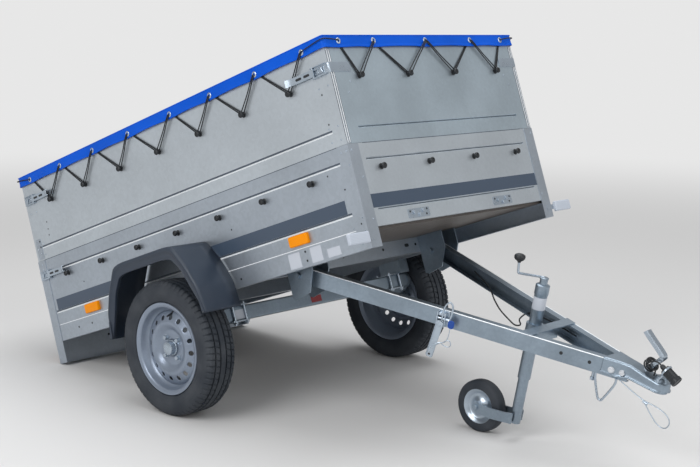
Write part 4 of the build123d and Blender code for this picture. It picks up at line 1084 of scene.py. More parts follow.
# ---- tarpaulin and lacing ----
@dataclass
class Tarpaulin(Assembly):
    """Fitted cover with its eyelets and the cord that holds it down to the upper hooks."""

    skirt: float = 45.0
    stand_off: float = 7.0
    wall: float = 1.2
    eyelet_radius: float = 11.5
    cord: float = 2.2
    pair_gap: float = 3.4
    neck: float = 5.0
    side_eyelets: tuple[float, ...] = (-1921, -1677, -1426, -1168, -884, -630, -365, -108)
    end_eyelets: tuple[float, ...] = (-477, -291, 3, 278, 476)
    side_level: float = 737.0
    end_level: float = 743.0
    steps: tuple[int, int] = (182, 100)
    edge_cell: float = 9.0
    # heights in millimetres of what shapes the top and the skirt
    slack: float = 17.0
    fold: float = 2.6
    crease: float = 2.0
    roll: float = 1.2
    flare: float = 2.2
    wrinkle: float = 1.5
    ripple: float = 0.8
    hem: float = 0.9

    def eyelets(self) -> list[tuple[Side, Array]]:
        """Each side with its eyelets as (along, out, up) points.

        Returns:
            A list of (side, array of points).
        """
        rows = []
        for side in Side:
            spots = self.end_eyelets if side.across else self.side_eyelets
            level = self.end_level if side.across else self.side_level
            rows.append((side, np.array([(spot, self.stand_off, level) for spot in spots])))
        return rows

    def stations(self, length: float, count: int) -> Array:
        """Distances from 0 to length: a cell as wide as edge_cell at each end, even ones between."""
        between = np.linspace(self.edge_cell, length - self.edge_cell, count)
        return np.concatenate([[0.0], between, [length]])

    def sag(self, x: Array, y: Array, eyelets: Array) -> Array:
        """How far the top hangs below its edge.

        The middle sags as 1 - u^4 times 1 - v^2, u and v going from 0 in the middle to 1 at the
        edge. Folds run inward from each eyelet as a cosine of seven times the bearing, dying away
        with the distance, and two creases each way show where it was folded for storage.

        Args:
            x: Box-frame X of the points.
            y: Box-frame Y of the points.
            eyelets: Box-frame X and Y of the eyelets.

        Returns:
            Array of drops in millimetres.
        """
        half_x, half_y = BOX.length / 2, BOX.half
        u = np.clip(np.abs(x + half_x) / (half_x - 24), 0, 1)
        v = np.clip(np.abs(y) / (half_y - 24), 0, 1)
        open_part = (1 - u**4) * (1 - v**2)
        away = np.stack([x, y], -1)[..., None, :] - eyelets
        far = np.linalg.norm(away, axis=-1)
        bearing = np.arctan2(away[..., 1], away[..., 0])
        folds = (self.fold * np.cos(7 * bearing) * np.exp(-far / 110)).sum(-1)
        crease = sum(np.exp(-(((way - at) / wide) ** 2)) for way, at, wide in (
            (y, 150, 9), (y, -190, 9), (x, -700, 10), (x, -1350, 10)))
        wave = 1.5 * np.sin(x / 61 + 1.3 * np.sin(y / 83)) * np.sin(y / 57 + 0.8)
        hang = open_part * (self.slack + wave - self.crease * crease)
        return hang + np.clip(folds, -3, 3) * np.sqrt(open_part)

    def sheet(self) -> Form:
        """The cover: a grid over the top whose rim is carried down as the skirt.

        Skirt points leave the rim along its outward normal by the stand-off, a roll of the top
        edge, a flare between eyelets and radiating wrinkles, and the hem rises a little between
        eyelets.

        Returns:
            The open form.
        """
        length, half = BOX.length, BOX.half
        reach = self.stand_off - BOX.sheet
        x = self.stations(length + 2 * reach, self.steps[0]) - length - reach
        y = self.stations(2 * (half + reach), self.steps[1]) - half - reach
        gx, gy = np.meshgrid(x, y, indexing="ij")
        eyes = np.concatenate([s.place(p)[:, :2] for s, p in self.eyelets()])
        top = BOX.extension_top + 1.6
        for i, j in ((0, 0), (0, -1), (-1, 0), (-1, -1)):
            gx[i, j] -= 3 * np.sign(gx[i, j] + length / 2)
            gy[i, j] -= 3 * np.sign(gy[i, j])
        grid = np.stack([gx, gy, top - self.sag(gx, gy, eyes)], -1)
        form = Form().grid(grid, marks=grid[..., :2] * MM)
        rim = np.concatenate([grid[:-1, 0], grid[-1, :-1], grid[:0:-1, -1], grid[0, :0:-1]])
        normal = np.cross(np.roll(rim, -1, 0) - np.roll(rim, 1, 0), (0, 0, 1))
        normal /= np.linalg.norm(normal, axis=1, keepdims=True)
        away = rim[:, None, :2] - eyes[None]
        nearest = np.argmin(np.linalg.norm(away, axis=-1), 1)
        offset = np.take_along_axis(away, nearest[:, None, None], 1)[:, 0]
        run = offset[:, 0] * -normal[:, 1] + offset[:, 1] * normal[:, 0]
        gap = np.linalg.norm(offset, axis=1)
        step = np.linalg.norm(np.diff(rim, axis=0, append=rim[:1]), axis=1)
        along = np.concatenate([[0], np.cumsum(step)[:-1]])
        levels = np.array([0, 0.03, 0.08, 0.16, 0.26, 0.36, 0.48, 0.6, 0.7, 0.8, 0.84, 0.94, 1.0])
        v = levels[:, None]
        slack = 1 - np.exp(-((gap / 70) ** 2))[None]
        roll = self.roll * (1 - np.exp(-v / 0.05))
        fall = self.skirt * v * (1 - 0.07 * slack * v)
        from_eye = np.hypot(run[None], fall - 22)
        bearing = np.arctan2(fall - 22, run[None])
        wrinkle = self.wrinkle * np.cos(6 * bearing) * np.exp(-from_eye / 42) * np.sqrt(v)
        ripple = self.ripple * np.sin(along / 37 + 2 * np.sin(along / 290))[None] * v * slack
        out = roll + self.flare * slack * v**2 + wrinkle + ripple - (1 - slack) * v
        out = np.maximum(out + np.where(v > 0.82, self.hem, 0.0), -0.5) * (v > 0)
        skirt = rim[None] + out[..., None] * normal[None]
        skirt[..., 2] -= fall
        marks = np.stack(np.broadcast_arrays(along[None], fall), -1) * MM
        return form.grid(skirt, (False, True), marks=marks)

    def eyelet_rings(self) -> Form:
        """A pressed ring in each eyelet: a round-backed ring section turned about its hole.

        Returns:
            All the rings.
        """
        r = self.eyelet_radius
        section = [(0.5 * r, -1), (0.5 * r, 2.2), (0.62 * r, 3.2), (0.8 * r, 3), (r, 1.4), (r, -1)]
        ring = turned(section, 20, closed=True)
        return joined(side.studded(ring, spots + (0, 0.8, 0)) for side, spots in self.eyelets())

    def pair(self, side: Side, start: Pair, hook: Pair, outs: tuple, spread: float = 1.0) -> Form:
        """Two strands side by side from a start round the neck of a hook.

        Args:
            side: The side of the box.
            start: Where they begin, as (along, up).
            hook: The hook's middle, as (along, up).
            outs: Distance from the board at the start, past the hem, near the hook and on it.
            spread: Share of the usual distance between the strands.

        Returns:
            The two strands.
        """
        bend = self.neck + self.cord
        run = np.subtract(hook, start)
        length = np.linalg.norm(run)
        run = run / length
        square = np.array([-run[1], run[0]])
        # share of the way, how far to the side, index of the distance from the board
        rows = [(0.0, self.pair_gap, 0), (12 / length, self.pair_gap, 1), (0.5, 4.6, 2)]
        rows += [(1 - 14 / length, 6.6, 2), (1.0, bend, 3), (1 + bend / length, 0.0, 3)]
        form = Form()
        for way in (-1, 1):
            points = []
            for share, aside, out in rows:
                at = np.array(start) + run * length * share + way * aside * spread * square
                points.append((at[0], outs[out], at[1]))
            path = side.place(smooth_path(points, 36))
            form.join(tube(path, self.cord, side.outward, 8))
        return form

    def lacing(self) -> Form:
        """The whole lacing: on each side single strands and loops in turn, then the corners.

        Returns:
            All the cords.
        """
        form = Form()
        level = BOX.hook_high
        under = BOX.extension_top - self.skirt + 6
        for side, eyes in self.eyelets():
            for k, hook in enumerate(side.hooks):
                turned_round = side.across and k >= 2
                held = eyes[k] if turned_round else eyes[k + 1]
                loose = eyes[k + 1] if turned_round else eyes[k]
                lean = 0.16 * (hook - loose[0])
                over = (held[1] - 2, held[1] + 5.4, 9.2, 9.4)
                form.join(self.pair(side, (held[0], held[2]), (hook, level), over))
                behind = (3, 3, 3.6, 4.8)
                form.join(self.pair(side, (loose[0] + lean, under), (hook, level), behind, 0.6))
                ring = side.place(np.insert(circle(self.neck + 2.6, 20), 1, 7.0, 1) + (hook, 0, level))
                form.join(tube(ring, self.cord, side.outward, 8, loop=True))
        return form.join(self.corner_cords())

    def corner_cords(self) -> Form:
        """Cord that lies on the skirt round each corner, from one side's eyelet to the next's.

        Returns:
            The four cords.
        """
        form = Form()
        for side, sign in ((Side.RIGHT, -1), (Side.LEFT, 1)):
            for end, x_eye, tip in (
                (Side.FRONT, self.side_eyelets[-1], 1), (Side.REAR, self.side_eyelets[0], -1)
            ):
                y_eye = self.end_eyelets[0] if sign < 0 else self.end_eyelets[-1]
                start = side.place((x_eye, self.stand_off, self.side_level))
                stop = end.place((y_eye, self.stand_off, self.end_level))
                edge_x = 9.5 if tip > 0 else -BOX.length - 9.5
                edge_y = sign * (BOX.half + 9.5)
                points = [start + (0, -2.0 * sign, 0), start + (6 * tip, 6.6 * sign, 1),
                          (edge_x - 30 * tip, edge_y + 1.6 * sign, 748),
                          (edge_x - 1 * tip, edge_y - 1 * sign, 750),
                          (edge_x + 1.6 * tip, edge_y - 30 * sign, 750), stop + (6.6 * tip, 6 * sign, 1),
                          stop + (-2.0 * tip, 0, 0)]
                form.join(tube(smooth_path(points, 60), self.cord, sides=8))
        return form

    def build(self) -> None:
        """Make the cover, its eyelets and its lacing."""
        cover = self.piece("tarpaulin_cover", self.sheet(), Look.BLUE, sharp=80, slot="tarpaulin",
                           node="tarpaulin", merge=True, wall=self.wall)
        rings = self.piece("tarpaulin_eyelets", self.eyelet_rings(), Look.PLATED)
        self.piece("tarpaulin_lacing", self.lacing(), Look.CORD, sharp=60)
        reach = self.stand_off - BOX.sheet
        rim = rounded(BOX.length + 2 * reach, 2 * (BOX.half + reach), 6, 5)
        rim = np.insert(rim, 2, BOX.extension_top + 0.8, 1) - (BOX.length / 2, 0, 0)
        welt = tube(rim, 2.4, loop=True)
        self.piece("tarpaulin_welt", welt, Look.BLUE, sharp=60)


# ---- box trim ----
@dataclass
class BoxTrim(Assembly):
    """Stripes, painted shade and highlights along the grooves, corner plates, knobs, rivets and black discs
    of painted shade in the open holes on the box.

    Spots are (along, out, up) points of the side or end that they are on.
    """

    band_high: float = 187.0
    band_half: float = 494.0
    proud: float = 0.5
    lining_half: float = 471.0
    lining_inset: float = 58.0
    plate_middle: Pair = (36.0, 424.0)
    plate_rivets: tuple = ((-12, 36), (-12, 0), (-12, -36), (4, 20), (4, -20))
    plate_holes: tuple = ((13, 34), (12, 8))
    post_rivets: tuple = ((-14, 2, 349), (-14, 2, 300), (-40, 2, 349), (-14, 2, 110), (-67, 0, 83),
                          (-14, 2, 62), (-40, 2, 20))
    rear_rivets: tuple = ((-1977, 2, 54), (-1980, 2, 21), (-1980, 2, 352), (-1980, 2, 330),
                          (-1998, 2, 200), (-1998, 2, -70))
    seam_rivets: tuple[int, ...] = (394, 443, 590)
    side_holes: tuple = ((-66, 0, 459), (-65, 0, 567), (-131, 0, 288), (-64, 0, 223), (-1877, 0, 530),
                         (-1878, 0, 498), (-1880, 0, 471), (-1700, 0, 222), (-690, 0, 222), (-24, 2, 91))
    rail_holes: tuple = ((-328, 0, 57), (-327, 0, 23), (-1810, 0, 39), (-1708, 0, 39), (-700, 0, 30))
    front_rivets: tuple = ((510, 2, 99), (536, 2, 30), (536, 2, 350), (510, 2, 250))
    high_rivets: tuple = ((470, 0, 643), (455, 0, 597), (474, 0, 557))
    tail_rivets: tuple = ((538, 2, -60), (538, 2, 20), (538, 2, 110), (538, 2, 240), (538, 2, 350))
    hinge_middles: Pair = (-262.0, 243.0)

    def strip(self, side: Side, start: float, stop: float, loop: Rows) -> Form:
        """A closed (out, up) outline carried along a side from start to stop."""
        return loft(side.place([[(along, out, up) for out, up in loop] for along in (start, stop)]))

    def bands(self) -> None:
        """The dark stripes, each from the lower groove's upper lip up."""
        low, rear = BOX.grooves[0] + BOX.groove_half + 0.4, -BOX.length
        loop = [(self.proud, low), (self.proud, self.band_high), (-0.3, self.band_high), (-0.3, low)]
        form = self.strip(Side.FRONT, -self.band_half, self.band_half, loop)
        for side in SIDES:
            form.join(self.strip(side, -840.0, -79.0, loop))
            form.join(self.strip(side, rear + 74, -1500.0, loop))
        self.piece("side_bands", form, Look.BAND)

    def groove_shade_and_highlights(self) -> None:
        """Painted shade in the grooves, seams and front corner gaps of the boards, and painted highlights on
        the edge below each side groove, along the side rails and beside the front corners.
        """
        dark, bright = Form(), Form()
        for side in Side:
            start, stop = -BOX.length + self.lining_inset, -self.lining_inset
            if side.across:
                start, stop = -self.lining_half, self.lining_half
            # the outline's top reaches further out and up on the sides, which have deeper lips
            top = 1.6 if side.across else 4.9
            out = top - 4.75
            # dark strip on each groove's upper slope and floor: painted shade; bright strip on a side
            # groove's lower slope: painted highlight
            for h in (*BOX.grooves, BOX.high_groove):
                dark.join(self.strip(side, start, stop, [
                    (out, h + top), (-3.65, h + 1.1), (-3.65, h - 0.9), (-4.4, h - 1), (-4.4, h + 1.3),
                    (out - 0.7, h + top)]))
                if not side.across:
                    bright.join(self.strip(side, start, stop, [
                        (-3.65, h - 1), (0.3, h - 4.9), (0.9, h - 5.6), (0.9, h - 6.8),
                        (0.1, h - 7.4), (-0.4, h - 5.4), (-4.4, h - 1.3)]))
            # dark strip at the seam: painted shade; bright strip on a side rail's top edge: painted highlight
            seam, rail = BOX.board_top, BOX.rail
            dark.join(self.strip(side, start, stop, [
                (0.3, seam + 1.4), (0.3, seam - 1.2), (-0.4, seam - 1.2), (-0.4, seam + 1.4)]))
            if not side.across:
                bright.join(self.strip(side, start, stop, [
                    (0.8, rail + 1.2), (0.8, rail - 1.2), (-0.4, rail - 1.8), (-0.4, rail + 1.8)]))
        # two dark lines in the front corners' gaps are painted shade, and the two bright lines beside them
        # painted highlights
        for sign in (-1, 1):
            for y, wide, form, out in ((527.5, 1.0, dark, 0.3), (545.5, 1.0, dark, 0.3),
                                       (531, 1.6, bright, 0.9), (542, 1.6, bright, 0.9)):
                loop = [(y - wide, out), (y + wide, out), (y + wide, -0.4), (y - wide, -0.4)]
                rows = [[(sign * a, o, up) for a, o in loop] for up in (378.0, 716.0)]
                form.join(loft(Side.FRONT.place(rows)))
        self.piece("painted_shade_lines", dark, Look.SHADE)
        self.piece("painted_highlight_lines", bright, Look.PAINTED_HIGHLIGHT)

    def corner_plates(self) -> None:
        """Plates that join the extension's sides to the rear posts, their rivets and open holes."""
        x, z = self.plate_middle[0] - BOX.length, self.plate_middle[1]
        rivet = turned([(5, 1), (5, 2.2), (3.8, 3.6), (1.4, 4.1)], 16)
        steel = on_sides(prism(rounded(40, 92, 4), -0.4, 1.4), [(x, 0, z)])
        steel.join(on_sides(rivet, [(x + dx, 0, z + dz) for dx, dz in self.plate_rivets]))
        self.piece("rear_corner_plates", steel, Look.SHEET)
        # black buttons in the plates' open holes: painted shade
        dark = on_sides(button(4.6, 1, 1.9, 16), [(x + dx, 0, z + dz) for dx, dz in self.plate_holes])
        self.piece("rear_corner_holes", dark, Look.BLACK)

    def knobs(self) -> None:
        """Tarpaulin knobs: a foot, a neck and a domed head with a rounded rim, turned."""
        knob = turned([
            (11.5, 0), (11.5, 1.6), (9.5, 3), (5.2, 3.4), (4.8, 8), (5.2, 11.4), (9.4, 12),
            (11.4, 14), (11.8, 16.6), (10.8, 19.4), (9, 20.8), (7.6, 20.6), (6.6, 18.4), (3.0, 17.6)
        ], 24)
        low, high = BOX.hook_low, BOX.hook_high
        for place, sides, levels in (("side", SIDES, (low, high)), ("front", (Side.FRONT,), (low, high)),
                                     ("rear", (Side.REAR,), (high,)), ("tailgate", (Side.REAR,), (low,))):
            form = joined(
                side.studded(knob, [(x, 0, z) for z in levels for x in side.hooks]) for side in sides)
            body = "tailgate" if place == "tailgate" else "box"
            self.piece(f"{place}_knobs", form, Look.BLACK, body, slot="black_plastic",
                       node=f"{place}_hooks")

    def fasteners(self) -> None:
        """Rivets along the posts and boards, and black discs of painted shade in the open holes."""
        rivet = turned([(3.6, -0.5), (3.6, 0.6), (2.8, 1.6), (1.2, 2.0)], 14)
        columns = (-26, -72, 26 - BOX.length, 72 - BOX.length)
        seams = [(x, 0, z) for x in columns for z in self.seam_rivets]
        heads = on_sides(rivet, [*self.post_rivets, *self.rear_rivets, *seams])
        for end, spots in ((Side.FRONT, self.front_rivets + self.high_rivets), (Side.REAR, self.tail_rivets)):
            heads.join(end.studded(rivet, [(s * y, out, z) for s in (-1, 1) for y, out, z in spots]))
        self.piece("box_rivets", heads, Look.PLATED)
        holes = on_sides(button(3.4, -0.5, 0.35, 14, 0.8), self.side_holes)
        holes.join(on_sides(button(4.6, -0.5, 0.4, 14), self.rail_holes))
        self.piece("box_open_holes", holes, Look.BLACK)

    def hinge_plates(self) -> None:
        """The front board's two bolted plates: a thin plate, three nuts and three holes as black buttons of
        painted shade.
        """
        plate, nut = prism(rounded(118, 34, 5), 0, 1.6), hexagon(6.5, 5.5, 8.5)
        steel, dark = Form(), Form()
        for y in self.hinge_middles:
            steel.join(Side.FRONT.studded(plate, [(y, 0, 98)]))
            steel.join(Side.FRONT.studded(nut, [(y - 28, 1.6, 100), (y, 1.6, 90), (y + 22, 1.6, 104)]))
            holes = [(y - 48, 0, 106), (y + 46, 0, 108), (y + 40, 0, 90)]
            dark.join(Side.FRONT.studded(button(4, 1.4, 2, 14), holes))
        self.piece("front_hinge_plates", steel, Look.PLATED, bevel=0.6, slot="zinc_plated",
                   node="front_plates")
        self.piece("front_hinge_holes", dark, Look.BLACK)

    def build(self) -> None:
        """Make all the trim."""
        self.bands()
        self.groove_shade_and_highlights()
        self.corner_plates()
        self.knobs()
        self.fasteners()
        self.hinge_plates()


# ---- lamps and labels ----
def pillow(width: float, height: float, depth: float, radius: float, soft: float = 4.0) -> Form:
    """A rounded block on Z whose front edge curves back by soft, as a quarter ellipse.

    Args:
        width: Its size across.
        height: Its size upward.
        depth: How far it stands out.
        radius: Radius of its outline's corners.
        soft: Depth of the rounded edge.

    Returns:
        The closed form.
    """
    turn = np.linspace(0, np.pi / 2, 7)
    steps = [(0.0, 0.0)] + [(soft * (1 - np.cos(a)), depth - soft + soft * np.sin(a)) for a in turn]
    rows = []
    for inset, level in steps:
        outline = rounded(width - 2 * inset, height - 2 * inset, max(radius - inset * 0.5, 1.0))
        rows.append(np.insert(outline, 2, level, 1))
    return loft(rows)


@dataclass
class Lamps(Assembly):
    """Marker lamps, rear lamps, and the blank labels and plate."""

    side_marker: Triple = (100.0, 40.0, 14.0)
    side_spots: tuple = ((-340, 0, 103), (-1673, 0, 103))
    front_marker: Triple = (106.0, 41.0, 12.0)
    front_spot: Pair = (614.0, 39.0)
    strap_middle: float = 593.5
    rear_lamp: Triple = (210.0, 62.0, 38.0)
    rear_spot: Pair = (390.0, -48.5)
    # a rear lamp's fields: shift outward, width and finish
    rear_fields: tuple = ((73.0, 60.0, Look.AMBER), (6.0, 70.0, Look.RED), (-66.0, 70.0, Look.CLEAR))
    # the right rail's labels: along, up, width and height
    rail_labels: tuple = ((-390, 35, 62, 56), (-274, 37, 58, 56), (-185, 26, 66, 32))
    tube_face: float = -854.0

    def side_markers(self) -> None:
        """Amber lenses, two on each side."""
        lenses = on_sides(pillow(*self.side_marker, 6, 5), self.side_spots)
        self.piece("marker_lenses", lenses, Look.AMBER, slot="amber_lens", node="side_markers")

    def front_markers(self) -> None:
        """White lenses held on flat straps beyond the front corners."""
        y, z = self.front_spot
        spots = [(-y, 2 * BOX.sheet, z), (y, 2 * BOX.sheet, z)]
        lenses = Side.FRONT.studded(pillow(*self.front_marker, 6, 5), spots)
        self.piece("front_lenses", lenses, Look.CLEAR, slot="white_lens", node="front_markers")
        spots = [(-self.strap_middle, 0, z), (self.strap_middle, 0, z)]
        straps = Side.FRONT.studded(prism(rounded(148, 20, 2), 2, 4), spots)
        self.piece("front_straps", straps, Look.SHEET)

    def rear_lamps(self) -> None:
        """Rear lamps: a black base and lens fields of amber, red and white from outside in."""
        (width, height, depth), (y, z) = self.rear_lamp, self.rear_spot
        bases = Side.REAR.studded(pillow(width, height, 12, 8, 2), [(-y, 0, z), (y, 0, z)])
        self.piece("lamp_bases", bases, Look.BLACK, slot="red_lens", node="rear_lamps")
        for shift, wide, look in self.rear_fields:
            lens = pillow(wide, height - 4, depth - 10, 5, 5)
            lenses = Side.REAR.studded(lens, [(s * (y + shift), 10, z) for s in (-1, 1)])
            self.piece(f"lamp_fields_{look.name.lower()}", lenses, look)

    def labels(self) -> None:
        """Blank labels on the right rail and the axle tube, and a blank red plate."""
        form = joined(Side.RIGHT.studded(prism(rounded(wide, high, 2), -0.3, 0.35), [(x, 0, z)])
                      for x, z, wide, high in self.rail_labels)
        ahead = aimed((1, 0, 0))
        form.join(prism(rounded(62, 38, 2), -0.3, 0.4).copies([(self.tube_face, -455, -93)], ahead))
        self.piece("blank_labels", form, Look.WHITE)
        plate = prism(rounded(60, 27, 2), -0.3, 1.0).copies([(self.tube_face, -30, -93)], ahead)
        self.piece("blank_plate", plate, Look.DULL_RED)

    def build(self) -> None:
        """Make them all."""
        self.side_markers()
        self.front_markers()
        self.rear_lamps()
        self.labels()


@dataclass
class Underside(Assembly):
    """Plates, rods and nuts that hold the axle tube, and the cross member's holes and cable."""

    tube: Triple = (-883.0, -88.0, 29.0)
    clamp: float = 466.0
    rods: tuple = ((-36, -30), (36, -30), (-36, 30), (36, 30))
    member_face: float = -560.0
    member_holes: tuple = ((326, 34), (375, 34), (120, 34))
    board_face: float = -2006.0
    board_holes: tuple = ((263, -7), (90, -20))

    def clamps(self) -> None:
        """A plate over and one under the tube, with four rods through both and nuts below."""
        x, z, half = self.tube
        down = aimed((0, 0, -1), (1, 0, 0))
        low, plate = z - half, prism(rounded(88, 84, 6), 0, 5)
        steel = plate.copies([(x, -self.clamp, low)], down)
        nuts = [(x + dx, dy - self.clamp, low - 5) for dx, dy in self.rods]
        steel.join(hexagon(9, 8, 12).copies(nuts, down))
        steel.join(plate.copies([(x, -self.clamp, z + half)], -down))
        for dx, dy in self.rods:
            rod = [(x + dx, dy - self.clamp, up) for up in (z + half + 12, low - 16)]
            steel.join(tube(rod, 4.6, (1, 0, 0), 12))
        self.piece("axle_clamps", steel.mirrored(), Look.PLATED)

    def holes(self) -> None:
        """Holes of the cross member and the light board as black discs and a slot of painted shade, with a
        ring of cable.
        """
        ahead = aimed((1, 0, 0))
        form = prism(rounded(26, 14, 6), 0, 0.5).copies([(self.member_face, 269, 36)], ahead)
        spots = [(self.member_face, y, z) for y, z in self.member_holes]
        form.join(button(6, 0, 0.5, 20).copies(spots, ahead))
        ring = np.insert(circle(20, 32) + (190, -6), 0, self.board_face + 6, 1)
        form.join(tube(ring, 3.2, (1, 0, 0), 10, loop=True))
        spots = [(self.board_face, y, z) for y, z in self.board_holes]
        form.join(button(6, 0, 0.5, 20).copies(spots, ahead))
        self.piece("member_holes", form.mirrored(), Look.BLACK)

    def build(self) -> None:
        """Make both sides' clamps and holes."""
        self.clamps()
        self.holes()


# ---- corner latches ----
@dataclass
class CornerLatches(Assembly):
    """Toggle latches: a strap round the corner, a flanged foot, a link and a slotted lever.

    A corner point is (back, inward, up): back is counted along the side from the box's end face and
    inward along the end from the side's outer face.
    """

    high: float = 650.0
    low: float = 304.0
    metal: float = 2.5
    reach: float = 107.0
    low_reach: float = 22.0
    seat: float = 2.0
    catch_in: float = 78.0
    foot: float = 85.0

    def corner(self, end: Side, sign: int, seat: float, points: Array) -> Array:
        """Carry corner points into the box frame.

        Args:
            end: The end of the box.
            sign: -1 for its right corner, 1 for its left.
            seat: How far off the box's faces the latch sits.
            points: Array whose last axis holds back, inward and up.

        Returns:
            The same array as x, y and z.
        """
        back, inward, up = np.moveaxis(np.asarray(points, float), -1, 0)
        x = -back - seat if end is Side.FRONT else back + seat - BOX.length
        return np.stack([x, sign * (BOX.half - seat - inward), up], -1)

    def strap(self, reach: float) -> Form:
        """The strip that goes from the end face round the corner.

        Args:
            reach: How far it goes along the end face.

        Returns:
            The form, in corner points.
        """
        out = -self.metal / 2
        turn = np.linspace(np.pi, 1.5 * np.pi, 6)
        bend = 3 + (3 - out) * round_point(turn)
        path = np.concatenate([[(out, reach)], [(out, 12)], bend, [(14, out)]])
        return carried(rounded(self.metal, 36, 1.0, 2), np.insert(path, 2, 0, 1))

    def foot_plate(self) -> Form:
        """The foot on the side: a channel open outward, with a raised window frame.

        Returns:
            The form, in corner points.
        """
        half = self.metal / 2
        section = [(-half, -20), (9, -20), (9, -17.5), (half, -17.5), (half, 17.5), (9, 17.5),
                   (9, 20), (-half, 20)]
        path = [(12, -0.5 - half, 0), (self.foot, -0.5 - half, 0)]
        window = [(22, -2.6, -11), (22, -2.6, 11), (52, -2.6, 11), (52, -2.6, -11)]
        return carried(section, path).join(tube(window, 1.6, (0, -1, 0), 8, loop=True))

    def lever(self) -> Form:
        """The lever: a channel open inward whose free end leans outward, its pin and its link.

        Returns:
            The form, in corner points.
        """
        section = [(-5, -13), (-5, -11), (1, -11), (1, 11), (-5, 11), (-5, 13), (2.6, 13), (2.6, -13)]
        path = [(68, -9, 0), (78, -9.4, 0), (120, -9.4, 0), (160, -9.6, 0), (186, -13, 0), (207, -21, 0)]
        form = carried(section, smooth_path(path, 18))
        form.join(tube([(74, -7, -19.5), (74, -7, 19.5)], 3.2, (1, 0, 0), 12))
        link = [(30, -5.4, -8.5), (30, -5.4, 8.5), (96, -6.2, 8.5), (96, -6.2, -8.5)]
        rod = smooth_path(np.repeat(link, 2, 0) + np.tile([(3, 0, 0), (-3, 0, 0)], (4, 1)), 40, True)
        return form.join(tube(rod, 2.3, (0, -1, 0), 8, loop=True))

    def slots(self) -> Form:
        """The two slots along the lever, as black plates of painted shade."""
        slot = prism(rounded(30, 9, 4.4), 0, 0.5)
        spots = [(104, -12.1, 0), (146, -12.2, 0)]
        return slot.copies(spots, aimed((0, -1, 0)))

    def build(self) -> None:
        """Make the upper latches, the lower rear ones and the catches on the tailgate."""
        steel, dark = Form(), Form()
        for end, level, reach, seat in ((Side.FRONT, self.high, self.reach, self.seat),
                                        (Side.REAR, self.high, self.reach, self.seat),
                                        (Side.REAR, self.low, self.low_reach, 0.0)):
            whole = self.strap(reach).join(self.foot_plate()).join(self.lever())
            for sign in (-1, 1):
                steel.join(whole.bent(lambda p: self.corner(end, sign, seat, p + (0, 0, level))))
                dark.join(self.slots().bent(lambda p: self.corner(end, sign, seat, p + (0, 0, level))))
        self.piece("latch_fittings", steel, Look.PLATED, bevel=0.4, slot="zinc_plated",
                   node="corner_latches")
        self.piece("latch_slots", dark, Look.BLACK)
        nose = prism(rounded(14, 30, 2), 0, 5)
        spots = [(s * (BOX.half - self.catch_in), 2 * self.metal, self.low) for s in (-1, 1)]
        catches = Side.REAR.studded(nose, spots)
        self.piece("tailgate_catches", catches, Look.PLATED, body="tailgate", bevel=0.5)


# ---- mudguards ----
@dataclass
class Mudguards(Assembly):
    """Moulded guards over the wheels."""

    width: float = 190.0
    wall: float = 3.0
    middle: Pair = (-1033.0, 0.0)
    arch: tuple = ((306, -67), (295, 33), (255, 120), (187, 218))
    opening: tuple = ((300, -67), (250, 33), (215, 111), (163, 172))
    rows: int = 72
    start: float = 7.0
    edge_radius: float = 11.0
    # the face's columns: share of the way from arch to opening, and how far back from the face
    face_steps: tuple = ((0.30, 0), (0.36, 1.2), (0.40, 3.6), (0.72, 5.5), (0.93, 7), (0.985, 8),
                         (1.0, 11), (1.0, 22))

    def curve(self, rows: Rows, soft: float) -> Array:
        """Arch through (half length, height) rows, front to rear, its corners softened.

        The straight-sided arch is sampled evenly by share of each side and then averaged with its
        neighbours.

        Args:
            rows: The (half length, height) points, from the foot up.
            soft: How far the neighbours reach, as a share of a side.

        Returns:
            Array of (along, up) points.
        """
        half = np.array(rows, float)
        outline = np.concatenate([half, half[::-1] * (-1, 1)])
        knots = np.arange(len(outline))
        t = np.linspace(0, knots[-1], self.rows)
        spread = np.linspace(-soft, soft, 9)
        at = np.clip(t[:, None] + spread * np.minimum(1, np.minimum(t, t[-1] - t))[:, None], 0, t[-1])
        curve = [np.interp(at, knots, outline[:, k]).mean(1) for k in (0, 1)]
        return np.stack(curve, -1)

    def shell(self, sign: int) -> Form:
        """One guard as an open surface: the tread plate, a rounded edge, the face and its lip.

        Across the surface the outline goes from the arch to the opening while the distance from
        the box goes from the board to the face, whose inner part is set back by a shallow step.

        Args:
            sign: -1 for the right wheel's guard, 1 for the left's.

        Returns:
            The open form.
        """
        arch, opening = self.curve(self.arch, 0.16), self.curve(self.opening, 0.22)
        r, width = self.edge_radius, self.width
        # columns: share of the way from arch to opening, how far in from the arch, how far out
        lines = [(0, 0, self.start), (0, 0, 60), (0, 0, 120), (0, 0, width - r - 14)]
        lines += [(0, r - r * np.cos(a), width - r + r * np.sin(a)) for a in np.linspace(0, np.pi / 2, 6)]
        lines += [(share, 0, width - back) for share, back in self.face_steps]
        points = np.empty((self.rows, len(lines), 3))
        inward = opening - arch
        inward /= np.maximum(np.linalg.norm(inward, axis=1, keepdims=True), 1e-6)
        for k, (share, shrink, out) in enumerate(lines):
            spot = arch + (opening - arch) * share + inward * shrink
            points[:, k, 0] = self.middle[0] + spot[:, 0]
            points[:, k, 1] = sign * (BOX.half - BOX.sheet + out)
            points[:, k, 2] = self.middle[1] + spot[:, 1]
        return Form().grid(points)

    def build(self) -> None:
        """Make both guards."""
        for side, sign in (("right", -1), ("left", 1)):
            self.piece(f"guard_{side}", self.shell(sign), Look.GUARD, slot="black_plastic",
                       node=f"mudguard_{side}", wall=self.wall, sharp=50)


